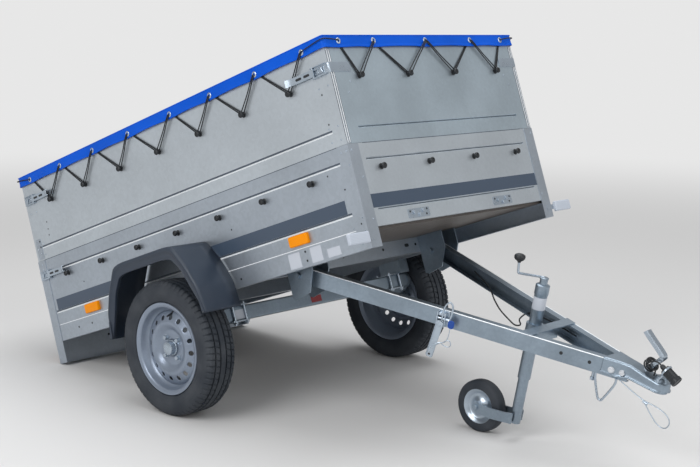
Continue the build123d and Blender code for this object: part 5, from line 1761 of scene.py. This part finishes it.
# ---- wheels ----
@dataclass
class Wheels(Assembly):
    """Tyres with a cut tread, pressed rims, hubs with their bolts and valves."""

    local: ClassVar[str] = "wheel"
    seat: float = 165.1
    flange: float = 182.4
    radius: float = 266.6
    bulge: float = 74.0
    rim_half: float = 57.15
    offset: float = 30.0
    well: float = 150.1
    spread: float = 652.0
    pitches: int = 66
    vents: int = 16
    vent_circle: float = 121.5
    vent_radius: float = 9.6
    bolts: int = 4
    bolt_circle: float = 49.0
    wall_rings: tuple[float, ...] = (203.0, 228.0, 240.0)
    # distances of the crown's points from the middle plane, with a groove at 11.5-17 and 36.5-41.5
    crown_lines: tuple[float, ...] = (0.0, 10.5, 11.5, 17.0, 18.0, 35.5, 36.5, 41.5, 42.5, 50.0, 54.5)
    groove: float = 7.5
    shoulder_cut: float = 5.5
    rib_cut: float = 4.0
    side_rib: float = 1.1
    # (radius, outward place) of the disc's face, and the radii of its plain rings
    disc_face: tuple = (
        (28, 30), (66, 30), (70, 31), (78, 36.5), (86, 42), (94, 46), (100, 47.2), (105, 46.6),
        (108, 45.4), (115, 41.8), (128, 35.4), (141, 28.6), (147, 22), (148, 14),
    )
    bowl_rings: tuple[float, ...] = (31, 40, 58, 64, 66, 70, 74, 78, 82, 86, 90, 94, 97, 100, 103, 105, 107)
    skirt_rings: tuple[float, ...] = (136, 139, 143, 145, 147, 147.6, 148)

    def tyre(self) -> Form:
        """The tyre about Z: a sidewall curve, a crown with four grooves, and cross cuts.

        The radius drops by the cut's depth in one of six steps of each pitch, on the shoulders and,
        half a pitch on, on the ribs between the grooves. Fine radial ribs lift the upper sidewall.

        Returns:
            The closed form.
        """
        side = smooth_path(
            [(self.seat + 1, self.rim_half - 12), (self.seat + 2, self.rim_half - 1),
             (self.flange + 1, self.rim_half + 1), (self.flange + 5, self.rim_half + 7),
             (201, self.bulge - 4), (216, self.bulge), (233, self.bulge - 1.5),
             (249.6, self.bulge - 6), (258, 62.5), (263, 57)], 40)
        for middle in self.wall_rings:
            side[:, 1] += 1.0 * np.exp(-(((side[:, 0] - middle) / 2.4) ** 2))
        lines = np.array(self.crown_lines)
        crown = self.radius - (lines / 57) ** 3 * 2.6
        crown[[2, 3, 6, 7]] -= self.groove
        half = np.concatenate([side, np.column_stack([crown, lines])[::-1]])
        section = np.concatenate([half, half[-2::-1] * (1, -1)])
        steps = self.pitches * 6
        out = np.abs(section[:, 1])[:, None]
        phase = np.arange(steps) % 6
        shoulder = (section[:, :1] > 251) & (out > 42)
        ribs = (section[:, :1] > 262) & (out < 35.8) & (out > 17.5)
        cut = self.shoulder_cut * (shoulder & (phase == 0)) + self.rib_cut * (ribs & (phase == 3))
        wall = (section[:, :1] > 236) & (section[:, :1] < 257)
        raised = np.where(wall & (phase % 2 == 0), self.side_rib, 0.0)
        skew = np.where(out < 36, out * 0.0012, 0.0) * np.sign(section[:, 1])[:, None]
        r = section[:, :1] - cut
        bearing = bearings(steps) + skew
        z = section[:, 1][:, None] + raised * np.sign(section[:, 1])[:, None]
        points = np.stack([r * np.cos(bearing), r * np.sin(bearing), z + 0 * r], -1)
        return Form().grid(points, (True, True))

    def barrel(self) -> Form:
        """The rim's barrel about Z, with rolled flanges, beads and a well.

        Returns:
            The closed form.
        """
        s, w, h, f = self.seat, self.well, self.rim_half, self.flange
        outer = [(f - 1.5, h + 6.5), (f, h + 4), (f - 1, h + 1.2), (s + 6, h), (s, h - 3), (s, h - 17),
                 (s - 4, h - 21), (w + 3, h - 29), (w, h - 33), (w, -8), (w + 3, -12), (s, -24), (s, 3 - h),
                 (s + 6, -h), (f - 1, -h - 1.2), (f, -h - 4), (f - 1.5, -h - 6.5)]
        inner = [(f - 5, -h - 6), (s, -h - 3), (s - 3.6, 3 - h), (s - 3.6, -23), (w, -10), (w - 3.4, -6),
                 (w - 3.4, h - 34), (w, h - 31), (s - 3.6, h - 20), (s - 3.6, h - 2), (s, h + 3),
                 (f - 5, h + 6)]
        return turned(outer + inner, 96, closed=True)

    def rise(self, r: Array) -> Array:
        """Outward place of the disc's face at a radius: bolt face, bowl, crest and skirt."""
        return np.interp(r, *np.transpose(self.disc_face))

    def disc(self) -> Form:
        """The rim's disc about Z, as an open face with a round vent in each sector.

        Around each vent the grid goes from the vent's circle to the sector's outline in four steps,
        and the vent's edge is drawn in slightly.

        Returns:
            The open form.
        """
        form = Form()
        for radii in (self.bowl_rings, self.skirt_rings):
            r = np.array(radii, float)[:, None, None]
            flat = r * circle(1.0, self.vents * 8)
            height = np.broadcast_to(self.rise(r), (*flat.shape[:2], 1))
            form.grid(np.concatenate([flat, height], -1), (False, True))
        low, high, wide = self.bowl_rings[-1], self.skirt_rings[0], np.pi / self.vents
        t = np.linspace(0, 1, 9)[:-1]
        across, up = np.linspace(-wide, wide, 9)[:-1], low + (high - low) * t
        edge_r = np.concatenate([np.full(8, low), up, np.full(8, high), up[::-1] + (high - low) / 8])
        edge_a = np.concatenate([across, np.full(8, wide), -across, np.full(8, -wide)])
        edge = edge_r[:, None] * round_point(edge_a)
        ray = np.arctan2(edge[:, 1], edge[:, 0] - self.vent_circle)
        hole = (self.vent_circle, 0.0) + self.vent_radius * round_point(ray)
        share = np.array([0, 0, 0.12, 0.4, 0.7, 1.0])[:, None, None]
        flat = hole + (edge - hole) * share
        z = self.rise(np.linalg.norm(flat, axis=-1))
        z[0] -= 3.0
        z[1] -= 0.7
        patch = Form().grid(np.concatenate([flat, z[..., None]], -1), (False, True))
        cos, sin = circle(1.0, self.vents).T
        turns = np.zeros((self.vents, 3, 3))
        turns[:, 0, 0] = turns[:, 1, 1] = cos
        turns[:, 0, 1], turns[:, 1, 0], turns[:, 2, 2] = -sin, sin, 1
        return form.join(patch.copies(np.zeros((self.vents, 3)), turns))

    def hub(self) -> Form:
        """The hub about Z: drum behind the disc, spigot, grease cap and bolts with round seats.

        Returns:
            The form.
        """
        face = self.offset
        form = turned([(66, face - 16), (66, face - 4), (30.9, face - 4), (30.9, face + 4),
                       (29.5, face + 5), (27.5, face + 5.5), (27, face + 21), (25.5, face + 25),
                       (20, face + 27.5), (8, face + 28)], 40)
        form.join(turned([(31, -76), (31, face - 14)], 40))
        bolt = hexagon(9.5, 12, 12.5)
        spots = self.bolt_circle * round_point(bearings(self.bolts) + np.pi / 4)
        return form.join(bolt.copies(np.insert(spots, 2, face, 1)))

    def valve(self) -> Form:
        """The tyre's valve about Z, leaning outward through the disc near its edge."""
        stem = turned([(7, -4), (7, 0), (4.2, 3), (4, 20), (3.4, 21), (3.4, 30), (2.6, 31)], 16)
        return stem.copies([(0.0, 138.0, 27.0)], aimed((0, -0.35, 1), (1, 0, 0)))

    def build(self) -> None:
        """Make both wheels."""
        for side, sign in (("right", -1), ("left", 1)):
            for name, form, look, replaced, more in (
                (f"tread_{side}", self.tyre(), Look.TYRE, "tyre", {"sharp": 40, "slot": "tyre"}),
                (f"barrel_{side}", self.barrel(), Look.RIM, "rim", {"sharp": 50, "slot": "silver_paint"}),
                (f"disc_{side}", self.disc(), Look.RIM, "", {"sharp": 60, "merge": True, "wall": 3.4}),
                (f"hub_{side}_face", self.hub(), Look.PLATED, "hub", {"sharp": 30, "slot": "zinc_plated"}),
                (f"valve_{side}", self.valve(), Look.BLACK, "", {}),
            ):
                form = form.copies([(0.0, sign * self.spread, 0.0)], aimed((0, sign, 0)))
                node = f"{replaced}_{side}" if replaced else ""
                self.piece(name, form, look, f"wheel_{side}", node=node, **more)


# ---- drawbar ----
@dataclass
class Drawbar(Assembly):
    """Fasteners, coupling, plug, cables, safety ring, wire and tip latch on the drawbar."""

    body: ClassVar[str] = "drawbar"
    local: ClassVar[str] = "drawbar"
    half_span: float = 418.0
    front_half: float = 38.5
    front: float = 1170.0
    height: float = 62.0
    start: float = 1120.0
    waist: float = 1180.0
    neck: float = 1215.0
    nose: float = 1355.0
    nose_radius: float = 35.0
    ball: float = 25.0
    socket_top: float = 31.0
    sheet: float = 4.0
    lip: float = 8.0
    low_edge: tuple = ((1115, -14), (1170, -18), (1215, -8), (1265, -11), (1360, -16))
    top_edge: tuple = ((1115, 35), (1180, 35), (1215, 34), (1265, 24), (1320, 16), (1360, 14))
    plug_face: Triple = (1392.0, -27.0, 42.0)
    plug_lean: float = np.radians(26)
    coil_centre: Triple = (1270.7, 0.0, 52.8)
    coil_lean: float = 46.0
    coil_half: Pair = (22.5, 28.5)
    cable_radius: float = 2.8
    cable_length: float = 0.73
    cable_exit: tuple = ((1288, 3, 20.5), (1288.5, 3.5, 25), (1289, 5, 31))
    lead_route: tuple = (
        (1272.2, -28.0, 66.7), (1276.1, -27.8, 71.3), (1286.3, -27.5, 77.7),
        (1297.3, -27.2, 82.4), (1309.3, -27.0, 82.4), (1320.1, -27.0, 77.1),
    )
    wire_route: tuple = (
        (1166, -24, -29), (1206, -24, -44), (1249, -24, -58), (1290, -24, -69), (1342, -24, -70),
        (1382, -24, -82), (1399, -24, -104), (1390, -24, -130), (1362, -24, -134),
        (1328, -24, -111), (1294, -24, -77.5),
    )
    wire_length: float = 0.39
    ring_side: float = -38.2
    beam_tip: float = 1208.0
    latch_along: float = 560.0
    latch_plate: float = 27.0
    ring_bow: tuple = (
        (1092.2, -29), (1096, -61.5), (1119, -119), (1130, -126.5), (1140, -120), (1172, -56.5),
        (1175.8, -29),
    )

    def outer(self, along: float | Array) -> float | Array:
        """Distance of a beam's outer face from the middle line."""
        return self.half_span - along * (self.half_span - self.front_half) / self.front

    @property
    def lean(self) -> float:
        """Angle of a beam to the middle line."""
        return float(np.arctan((self.half_span - self.front_half) / self.front))

    def on_web(self, form: Form, spots: Rows, out: float = 0.0) -> Form:
        """Copies of a form on both beams' outer faces, aimed outward.

        Args:
            form: A form that stands on Z.
            spots: Its places as (along, up).
            out: Distance from the faces.

        Returns:
            The copies as one form.
        """
        whole = Form()
        for sign in (-1, 1):
            places = [(x, sign * (self.outer(x) + out), z) for x, z in spots]
            outward = (np.sin(self.lean), sign * np.cos(self.lean), 0)
            whole.join(form.copies(places, aimed(outward)))
        return whole

    def fasteners(self) -> None:
        """Bolt heads through the coupling, black discs of painted shade in the open holes, a painted
        highlight along the beams' upper edges and the webs' ends.
        """
        bolts = self.on_web(hexagon(9.5, 8, 12), [(1154, -2), (1192, -2)], 5.5)
        self.piece("drawbar_bolts", bolts, Look.BOLT)
        # black discs in the webs' open holes: painted shade
        holes = self.on_web(button(6.5, 0, 0.5, 20), [(978, 2), (1077, 0)])
        self.piece("drawbar_holes", holes, Look.BLACK)
        # a pale rod along each beam's upper outer edge: painted highlight
        line = [(x, 0.6 - self.outer(x), self.height / 2 - 0.6) for x in (14.0, self.start)]
        self.piece("beam_edge_highlights", tube(line, 1.9, sides=8).mirrored(), Look.PAINTED_HIGHLIGHT)
        low = -self.height / 2
        section = [(0, low), (0, 8), (3, 8), (3, low + 3), (16, low + 3), (16, low)]
        toes = loft([[(x, skin - self.outer(x), z) for skin, z in section]
                     for x in (self.front - 8, self.beam_tip)])
        self.piece("beam_toes", toes.mirrored(), Look.STEEL)

    def coupling(self) -> Form:
        """Pressed coupling: an arched section carried forward and closed round the ball socket.

        Half width w, top t and lower edge b go with the distance x along the drawbar. Ahead of the
        ball's middle c the width is that of a circle, w = R sqrt(1 - ((x - c) / R)^2). The socket
        lifts the top to s within a circle about c, and the lower edge is turned outward as a flange.

        Returns:
            The open form.
        """
        radius, middle = self.nose_radius, self.nose - self.nose_radius
        round_part = middle + radius * np.sin(np.linspace(0.06, np.pi / 2 - 0.02, 20))
        x = np.concatenate([np.linspace(self.start, middle, 56), round_part])
        shell = self.sheet / np.cos(self.lean)
        knots = [self.start, self.waist, self.neck, middle]
        widths = [self.outer(self.start) + shell, self.outer(self.waist) + shell, 33, radius]
        wide = np.interp(x, knots, widths)
        ahead = np.clip((x - middle) / radius, 0, 1)
        wide = np.where(x > middle, radius * np.sqrt(1 - ahead**2), wide)
        top = np.interp(x, *np.transpose(self.top_edge))
        low = np.interp(x, *np.transpose(self.low_edge))
        turn = np.linspace(0, np.pi / 2, 6)
        r = np.minimum(9.0, wide * 0.45)
        rows = [np.stack([wide + self.lip, low], -1), np.stack([wide + 1.5, low], -1)]
        rows += [np.stack([wide, low + 2], -1), np.stack([wide, (low + top) / 2], -1)]
        rows += [np.stack([wide - r + r * np.cos(a), top - r + r * np.sin(a)], -1) for a in turn]
        rows += [np.stack([(wide - r) * (1 - k / 8), top], -1) for k in range(1, 9)]
        half = np.stack(rows, 1)
        whole = np.concatenate([half, half[:, -2::-1] * (-1, 1)], 1)
        points = np.empty((len(x), whole.shape[1], 3))
        points[..., 0], points[..., 1:] = x[:, None], whole
        away = np.hypot(points[..., 0] - middle, points[..., 1])
        lift = np.clip((self.ball + 4 - away) / 11, 0, 1)
        lift = lift * lift * (3 - 2 * lift)
        raised = points[..., 2] > top[:, None] - 3
        points[..., 2] += np.where(raised, lift * (self.socket_top - points[..., 2]), 0)
        return Form().grid(points)

    def handle(self) -> Form:
        """Coupling lever: a channel that goes up and forward, turns back and ends in a rolled tip.

        Returns:
            The closed form.
        """
        section = [(-15, -8), (-12.2, -8), (-12.2, 4.4), (12.2, 4.4), (12.2, -8), (15, -8), (15, 4.5),
                   (12, 7.5), (-12, 7.5), (-15, 4.5)]
        path = smooth_path(
            [(1258, 0, 34), (1282, 0, 62), (1302, 0, 85), (1309.5, 0, 98), (1299, 0, 110),
             (1264, 0, 136), (1236, 0, 157), (1229, 0, 164)], 52)
        return carried(section, path[::-1])

    def plug(self) -> Form:
        """Electric plug about Z, its face at 0: a rimmed barrel with grip ribs and a cable gland.

        Returns:
            The closed form.
        """
        rings = [(15, 1.5), (15, 0), (19, 0), (20.5, 1.5), (20.5, 13), (19.5, 14), (17.6, 14.4)]
        for k in range(5):
            z = 19 + 8 * k
            rings += [(17.6, z), (18, z + 0.8), (18, z + 4.4), (17.2, z + 5.2)]
        rings += [(16, 62), (9.5, 63), (9, 64), (8.6, 74), (6.2, 79.5), (3.4, 80)]
        return turned(rings, 32)

    def cable_route(self) -> list[Triple]:
        """The lighting cable's route: out of the coupling, round the lever's foot and to the plug.

        A turn's point is m + e (a + r) cos t + y (b + r) sin t + n h, with e and n in the coil's
        plane and square to it. The turns' own section (r, h) goes round a small circle, so that
        each turn lies beside the one before.

        Returns:
            List of (x, y, z) points.
        """
        lean = np.radians(self.coil_lean)
        normal = np.array([np.cos(lean), 0, np.sin(lean)])
        along = np.array([np.sin(lean), 0, -np.cos(lean)])
        t = np.radians(np.linspace(34, 360 * 4 + 236, 62))
        share = (t - t[0]) / (2 * np.pi)
        bundle = np.radians(-62) - share * np.radians(54)
        r = 6.8 * np.cos(bundle) + 0.5 * np.sin(1.7 * t)
        h = 7.4 * np.sin(bundle)
        a, b = self.coil_half
        parts = np.stack([(a + r) * np.cos(t), (b + r) * np.sin(t), h], -1)
        turns = self.coil_centre + parts @ np.array([along, (0, 1, 0), normal])
        return [*self.cable_exit, *map(tuple, turns), *self.lead_route]

    def cord(self, name: str, route: Rows, radius: float, look: Look, *nodes: str) -> bpy.types.Object:
        """A NURBS curve piece, for a cord.

        Args:
            name: The piece's name.
            route: Its control points, in the drawbar frame.
            radius: Its radius in millimetres.
            look: Its finish.
            *nodes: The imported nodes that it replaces.

        Returns:
            The new object.
        """
        points = self.frame.world(route)
        data = bpy.data.curves.new(name, "CURVE")
        data.dimensions, data.bevel_depth, data.bevel_resolution = "3D", radius * MM, 3
        data.resolution_u, data.use_fill_caps = 6, True
        spline = data.splines.new("NURBS")
        spline.points.add(len(points) - 1)
        spline.points.foreach_set("co", np.insert(points, 3, 1.0, 1).ravel())
        spline.order_u, spline.use_endpoint_u = 3, True
        data.materials.append(look.material)
        piece = add_object(name, data)
        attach(piece, self.body)
        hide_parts(*nodes)
        log.info("%s: %d points", name, len(points))
        return piece

    def cables(self) -> None:
        """Lighting cable coiled round the lever's foot, its plug and the holder it is parked in."""
        back = np.array([-np.cos(self.plug_lean), 0, np.sin(self.plug_lean)])
        face, turn = np.array(self.plug_face), aimed(back, (0, 1, 0))
        plug = self.piece("parked_plug", self.plug().copies([face], turn), Look.BLACK, sharp=40,
                          slot="black_plastic", node="lighting_plug")
        holder = turned([(18.1, 0), (22, 0), (22, 6), (18.1, 6)], 40, closed=True)
        holder = holder.copies([face + 50 * back], turn)
        stalk = [(1322, -27, 14), (1324, -27, 28), face + 53 * back - (9, 0, 19)]
        holder.join(carried(rounded(6, 3, 1, 2), stalk, (0, 1, 0)))
        self.piece("plug_holder", holder, Look.PLATED, sharp=40)
        route = self.cable_route()
        cable = self.cord("lighting_cable", route, self.cable_radius, Look.BLACK,
                          "lighting_lead", "lighting_coil")
        self.frame.world(route[0])

    def safety(self) -> None:
        """The fixed ring below the beam, and the thin wire that ends in a spread loop."""
        bow = [(x, self.ring_side, z) for x, z in self.ring_bow]
        ring = tube(smooth_path(bow, 60), 4.2, (0, 1, 0), 12)
        stud = self.ring_side + 3
        ring.join(tube([(1082, stud, -30), (1082, stud, -71)], 5, (0, 1, 0), 12))
        ring.join(tube([(1082, stud, -60), (1082, stud, -70)], 9, (0, 1, 0), 6))
        self.piece("beam_ring", ring, Look.PLATED, slot="zinc_plated", node="safety_ring", sharp=50)
        side = self.wire_route[0][1]
        crimp = tube([(1283, side, -71.5), (1290, side, -72.6), (1303, side, -75)], 5.2, (0, 1, 0), 14,
                     sizes=[0.8, 1.0, 0.9])
        crimp = self.piece("wire_crimp", crimp, Look.PLATED)
        wire = self.cord("wire_lanyard", self.wire_route, 2.0, Look.PLATED,
                         "breakaway_wire", "breakaway_loop")
        self.frame.world(self.wire_route[0])

    def latch(self) -> None:
        """The tip latch: a bracket with cheeks, its bail, hanging plate, tag and spring clip."""
        middle = self.latch_along
        outward = np.array([np.sin(self.lean), -np.cos(self.lean), 0])
        turn = aimed(outward)
        face = np.array([middle, -self.outer(middle), 0.0])

        def spots(points: Rows) -> Array:
            """Points (along, out, up) from the latch's middle on the beam, in the drawbar frame."""
            return face + np.asarray(points, float) @ np.array([turn[:, 0], outward, (0, 0, 1)])

        def block(wide: float, high: float, deep: tuple, at: tuple, radius: float = 3) -> Form:
            """A rounded plate from one height over the beam's outer face to another, deep."""
            return prism(rounded(wide, high, radius), *deep).copies(spots([(at[0], 0, at[1])]), turn)

        steel = block(46, 60, (0, 5), (-6, 0), 6)
        for shift in (-24, 6):
            steel.join(block(4, 54, (5, 24), (shift, -1), 1.5))
        steel.join(block(26, 20, (5, 22), (-9, -16), 3)).join(block(26, 10, (5, 20), (-9, 18), 3))
        steel.join(tube(spots([(-28, 16, 2), (22, 16, 2)]), 5.5, (0, 0, 1), 16))
        steel.join(tube(spots([(20, 16, 2), (26, 16, 2)]), 8.5, (0, 0, 1), 6))
        low, high, half = -150.0, -6.0, self.latch_plate / 2
        steer = np.radians(-8)
        cos, sin = np.cos(steer), np.sin(steer)
        swing = np.array([(cos, -sin, 0), (sin, cos, 0), (0, 0, 1)])
        plate = prism(rounded(2 * half, high - low, 6), 26, 29)
        for edge in (-1, 1):
            wall = prism(rounded(2.6, high - low - 12, 1), 28.5, 32)
            plate.join(wall.copies([(edge * (half - 1.3), 0, 0)]))
        knob = turned([(6, 28), (6, 31), (3, 32)], 16).copies([(0, 56, 0)])
        plate = plate.join(knob).bent(lambda p: p @ swing.T)
        plate = plate.copies(spots([(-17, 0, (low + high) / 2)]), turn)
        self.piece("latch_bracket", steel.join(plate), Look.PLATED, bevel=0.6, slot="galvanised_steel",
                   node="tip_latch")
        bow = smooth_path([(-4, 20, -4), (-5, 20, 26), (0, 20, 54), (13, 20, 70), (26, 20, 62),
                           (29, 20, 38), (24, 20, 0)], 48)
        self.piece("latch_bail", tube(spots(bow), 3.6, outward, 12), Look.PLATED)
        tag = pillow(24, 32, 4, 11, 1.5).copies(spots([(34, 24, -8)]), turn)
        self.piece("latch_tag", tag, Look.TAG)
        # a black disc at the hanging plate's hole and a black plate in the recess between the cheeks: painted
        # shade
        dark = button(4.2, 0, 0.5, 16).copies(spots([(-27, 29, -138)]), turn)
        dark.join(block(10, 14, (24.2, 24.7), (-9, -14), 3))
        self.piece("latch_holes", dark, Look.BLACK)
        chain = smooth_path([(34, 27, -22), (33, 28, -48), (29, 28, -70), (20, 28, -80)], 24)
        clip = smooth_path([(-26, 32, -104), (-8, 31, -92), (6, 28, -84), (14, 28, -88), (24, 28, -92),
                            (40, 28, -92), (47, 28, -82), (42, 28, -70), (30, 28, -70), (18, 28, -80),
                            (4, 28, -88), (-10, 28, -99), (-24, 28, -108)], 72)
        wire = tube(spots(chain), 1.6, outward, 8).join(tube(spots(clip), 1.8, outward, 8))
        self.piece("latch_clip", wire, Look.PLATED)

    def clipped_cable(self) -> None:
        """Lighting cable that hangs between clips inside the left beam."""
        route = [(300, 262, 24), (405, 228, -2), (450, 214, -36), (494, 203, -62), (540, 200, -82),
                 (575, 200, -94), (600, 200, -84), (592, 200, -62), (640, 190, -20), (760, 158, -6),
                 (900, 112, -2)]
        form = tube(smooth_path(route, 96), 3.0, (0, 0, 1), 10)
        self.piece("clipped_cable", form, Look.BLACK)

    def build(self) -> None:
        """Make all of it."""
        self.fasteners()
        self.piece("coupling_body", self.coupling(), Look.STEEL, wall=self.sheet, slot="zinc_plated",
                   node="coupling", sharp=50)
        self.piece("coupling_lever", self.handle(), Look.PLATED, bevel=0.8, slot="zinc_plated",
                   node="coupling_handle")
        self.cables()
        self.safety()
        self.latch()
        self.clipped_cable()


@dataclass
class JockeyWheel(Assembly):
    """Jockey wheel: outer tube with its label and crank, leg with its fork, rim and tyre."""

    body: ClassVar[str] = "drawbar"
    local: ClassVar[str] = "drawbar"
    inner: float = 20.0
    leg_top: float = -40.0
    fork_gap: float = 32.0
    fork_plate: float = 5.0
    eye: float = 18.0
    along: float = 788.0
    tube: float = 24.0
    top: float = 176.0
    bottom: float = -190.0
    trail: float = 158.0
    drop: float = 367.27
    # (radius, place along the axle) outlines of the rim, with its pressed rings, and of the tyre
    rim_outline: tuple = (
        (20, 31), (20, 26), (23, 24), (24, 14), (27, 9), (32, 9), (37, 18), (42, 9), (47, 18),
        (52, 8), (56, 9), (60, 20), (63, 24), (66, 24.5), (67, 22), (62, 19), (56, 6), (56, -6),
        (62, -19), (67, -22), (66, -24.5), (58, -22), (52, -14), (46, -10), (34, -13), (24, -22),
        (20, -26), (20, -31), (8.2, -31), (8.2, 31),
    )
    tyre_outline: tuple = (
        (67, 24.6), (74, 25), (86, 25), (93, 23.5), (97.5, 20), (99.6, 14), (100, 6), (100, -6),
        (99.6, -14), (97.5, -20), (93, -23.5), (86, -25), (74, -25), (67, -24.6), (64, -20), (64, 20),
    )

    def case(self) -> None:
        """The outer tube with its collar and gear head, and its blank label."""
        at, r, top = [(self.along, 0, 0)], self.tube, self.top
        case = turned([
            (r - 3, self.bottom), (r, self.bottom), (r, top - 40), (r + 2.2, top - 36),
            (r + 2.2, top - 2), (r, top), (15, top + 3), (14.5, top + 20), (16.5, top + 21),
            (16.5, top + 26), (13, top + 28), (5, top + 28)], 40)
        # the case takes the darker dipped zinc in place of bright plating: painted shade
        self.piece("jockey_case", case.copies(at), Look.STEEL, sharp=40, slot="zinc_plated",
                   node="jockey_tube")
        label = turned([(r + 0.3, top - 93), (r + 0.5, top - 92), (r + 0.5, top - 47), (r + 0.3, top - 46)],
                       40, closed=True)
        self.piece("jockey_label", label.copies(at), Look.WHITE)

    def crank(self) -> None:
        """The crank's rod and its turned knob."""
        x, top = self.along, self.top
        rod = smooth_path([(x, 0, top + 24), (x - 12, 0, top + 25), (x - 100, 0, top + 8),
                           (x - 113, 0, top + 8), (x - 116, 0, top + 18), (x - 120, 0, top + 54)], 40)
        self.piece("crank_rod", tube(rod, 4.6, (0, 1, 0), 12), Look.PLATED, slot="zinc_plated",
                   node="jockey_crank")
        knob = turned([(6, 0), (7, 4), (15, 9), (20, 15), (21, 22), (19, 28), (12, 32), (4, 33)], 28)
        knob = knob.copies([(x - 119, 0, top + 45)], aimed((-0.06, 0, 1), (0, 1, 0)))
        self.piece("crank_knob", knob, Look.BLACK, sharp=60)

    def leg(self, hub: Array) -> None:
        """Make the inner leg: a tube, two fork plates that hold the pin, and a web between them.

        Args:
            hub: The wheel's middle, in the drawbar frame.
        """
        foot, inner = hub[2] - 2.0, self.inner
        profile = [(inner - 3, foot), (inner, foot), (inner, self.leg_top), (inner - 3, self.leg_top)]
        form = turned(profile, 40, closed=True).copies([(self.along, 0, 0)])
        back, gap = self.trail + 6, self.fork_gap
        end = gap + self.fork_plate
        eye = self.eye * round_point(np.linspace(np.pi / 2, 3 * np.pi / 2, 12))
        outline = np.concatenate([
            [(back, 0), (back, 38), (back - 4, 42), (self.trail - 26, 34), (60, 22)], eye, [(60, -20)]])
        for sign in (-1, 1):
            form.join(prism(outline * (-sign, 1), gap, end).copies([hub], aimed((0, sign, 0))))
        web = [(30 - self.trail, 4), (-back, 4), (-back, 9), (30 - self.trail, 9)]
        form.join(prism(web, -gap - 1, gap + 1).copies([hub], aimed((0, 1, 0))))
        form.join(tube([hub - (0, end, 0), hub + (0, end, 0)], 8, sides=20))
        for sign in (-1, 1):
            form.join(hexagon(10, 8, 13).copies([hub + (0, sign * end, 0)], aimed((0, sign, 0))))
        self.piece("leg_tube", form, Look.STEEL, "jockey_leg", sharp=40, slot="galvanised_steel",
                   node="jockey_leg")

    def build(self) -> None:
        """Make its parts."""
        self.case()
        self.crank()
        hub = np.array([self.along - self.trail, 0.0, -self.drop])
        self.leg(hub)
        rim = turned(self.rim_outline, 56, closed=True).copies([hub], aimed((0, 1, 0)))
        self.piece("jockey_rim_face", rim, Look.PLATED, "jockey_wheel", sharp=62, slot="zinc_plated",
                   node="jockey_rim")
        tread = turned(self.tyre_outline, 72, closed=True).copies([hub], aimed((0, 1, 0)))
        self.piece("jockey_tread", tread, Look.TYRE, "jockey_wheel", slot="tyre", node="jockey_tyre",
                   sharp=40)


# ---- main ----
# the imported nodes' own finishes; * stands for left and for right
NODE_LOOKS: dict[Look, str] = {
    Look.SHEET: "side_rail_* side_board_* corner_posts_front corner_posts_rear rear_light_board "
    "tailgate tailgate_hinges cross_member_1 cross_member_2",
    # front_board takes the pale extension zinc, a painted reflection that makes it brighter than the side
    # boards; extension_front takes the darker FRONT zinc, painted shade
    Look.EXTENSION: "extension_* extension_rear extension_corners front_board",
    Look.FRONT: "extension_front",
    Look.STEEL: "axle_beam axle_arm_* pivot_bracket_* drawbar_beam_* drawbar_brace tip_latch "
    "jockey_clamp jockey_tube jockey_leg jockey_crank",
    Look.PLATED: "coupling coupling_handle hub_* corner_latches front_plates safety_ring "
    "breakaway_wire breakaway_loop",
    Look.FLOOR: "floor",
    Look.BLUE: "tarpaulin",
    Look.GUARD: "mudguard_*",
    Look.BLACK: "side_hooks front_hooks rear_hooks tailgate_hooks lighting_plug lighting_coil "
    "lighting_lead",
    Look.TYRE: "tyre_* jockey_tyre",
    Look.RIM: "rim_* jockey_rim",
    Look.AMBER: "side_markers",
    Look.CLEAR: "front_markers",
    Look.RED: "rear_lamps",
    Look.WHITE: "number_plate_board",
}


def main() -> None:
    """Build the trailer's looks in order."""
    logging.basicConfig(level=logging.INFO, format="%(name)s: %(message)s")
    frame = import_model()
    frames = Frames(frame["joints"])
    Studio(frames).build()
    for look, names in NODE_LOOKS.items():
        for name in names.split():
            for hand in ("left", "right")[: 1 + ("*" in name)]:
                dress(frame["nodes"][name.replace("*", hand)], look)
    for kind in (Tarpaulin, BoxTrim, Lamps, Underside, CornerLatches, Mudguards, Wheels, Drawbar,
                 JockeyWheel):
        kind(frames).build()


if __name__ == "__main__":
    main()
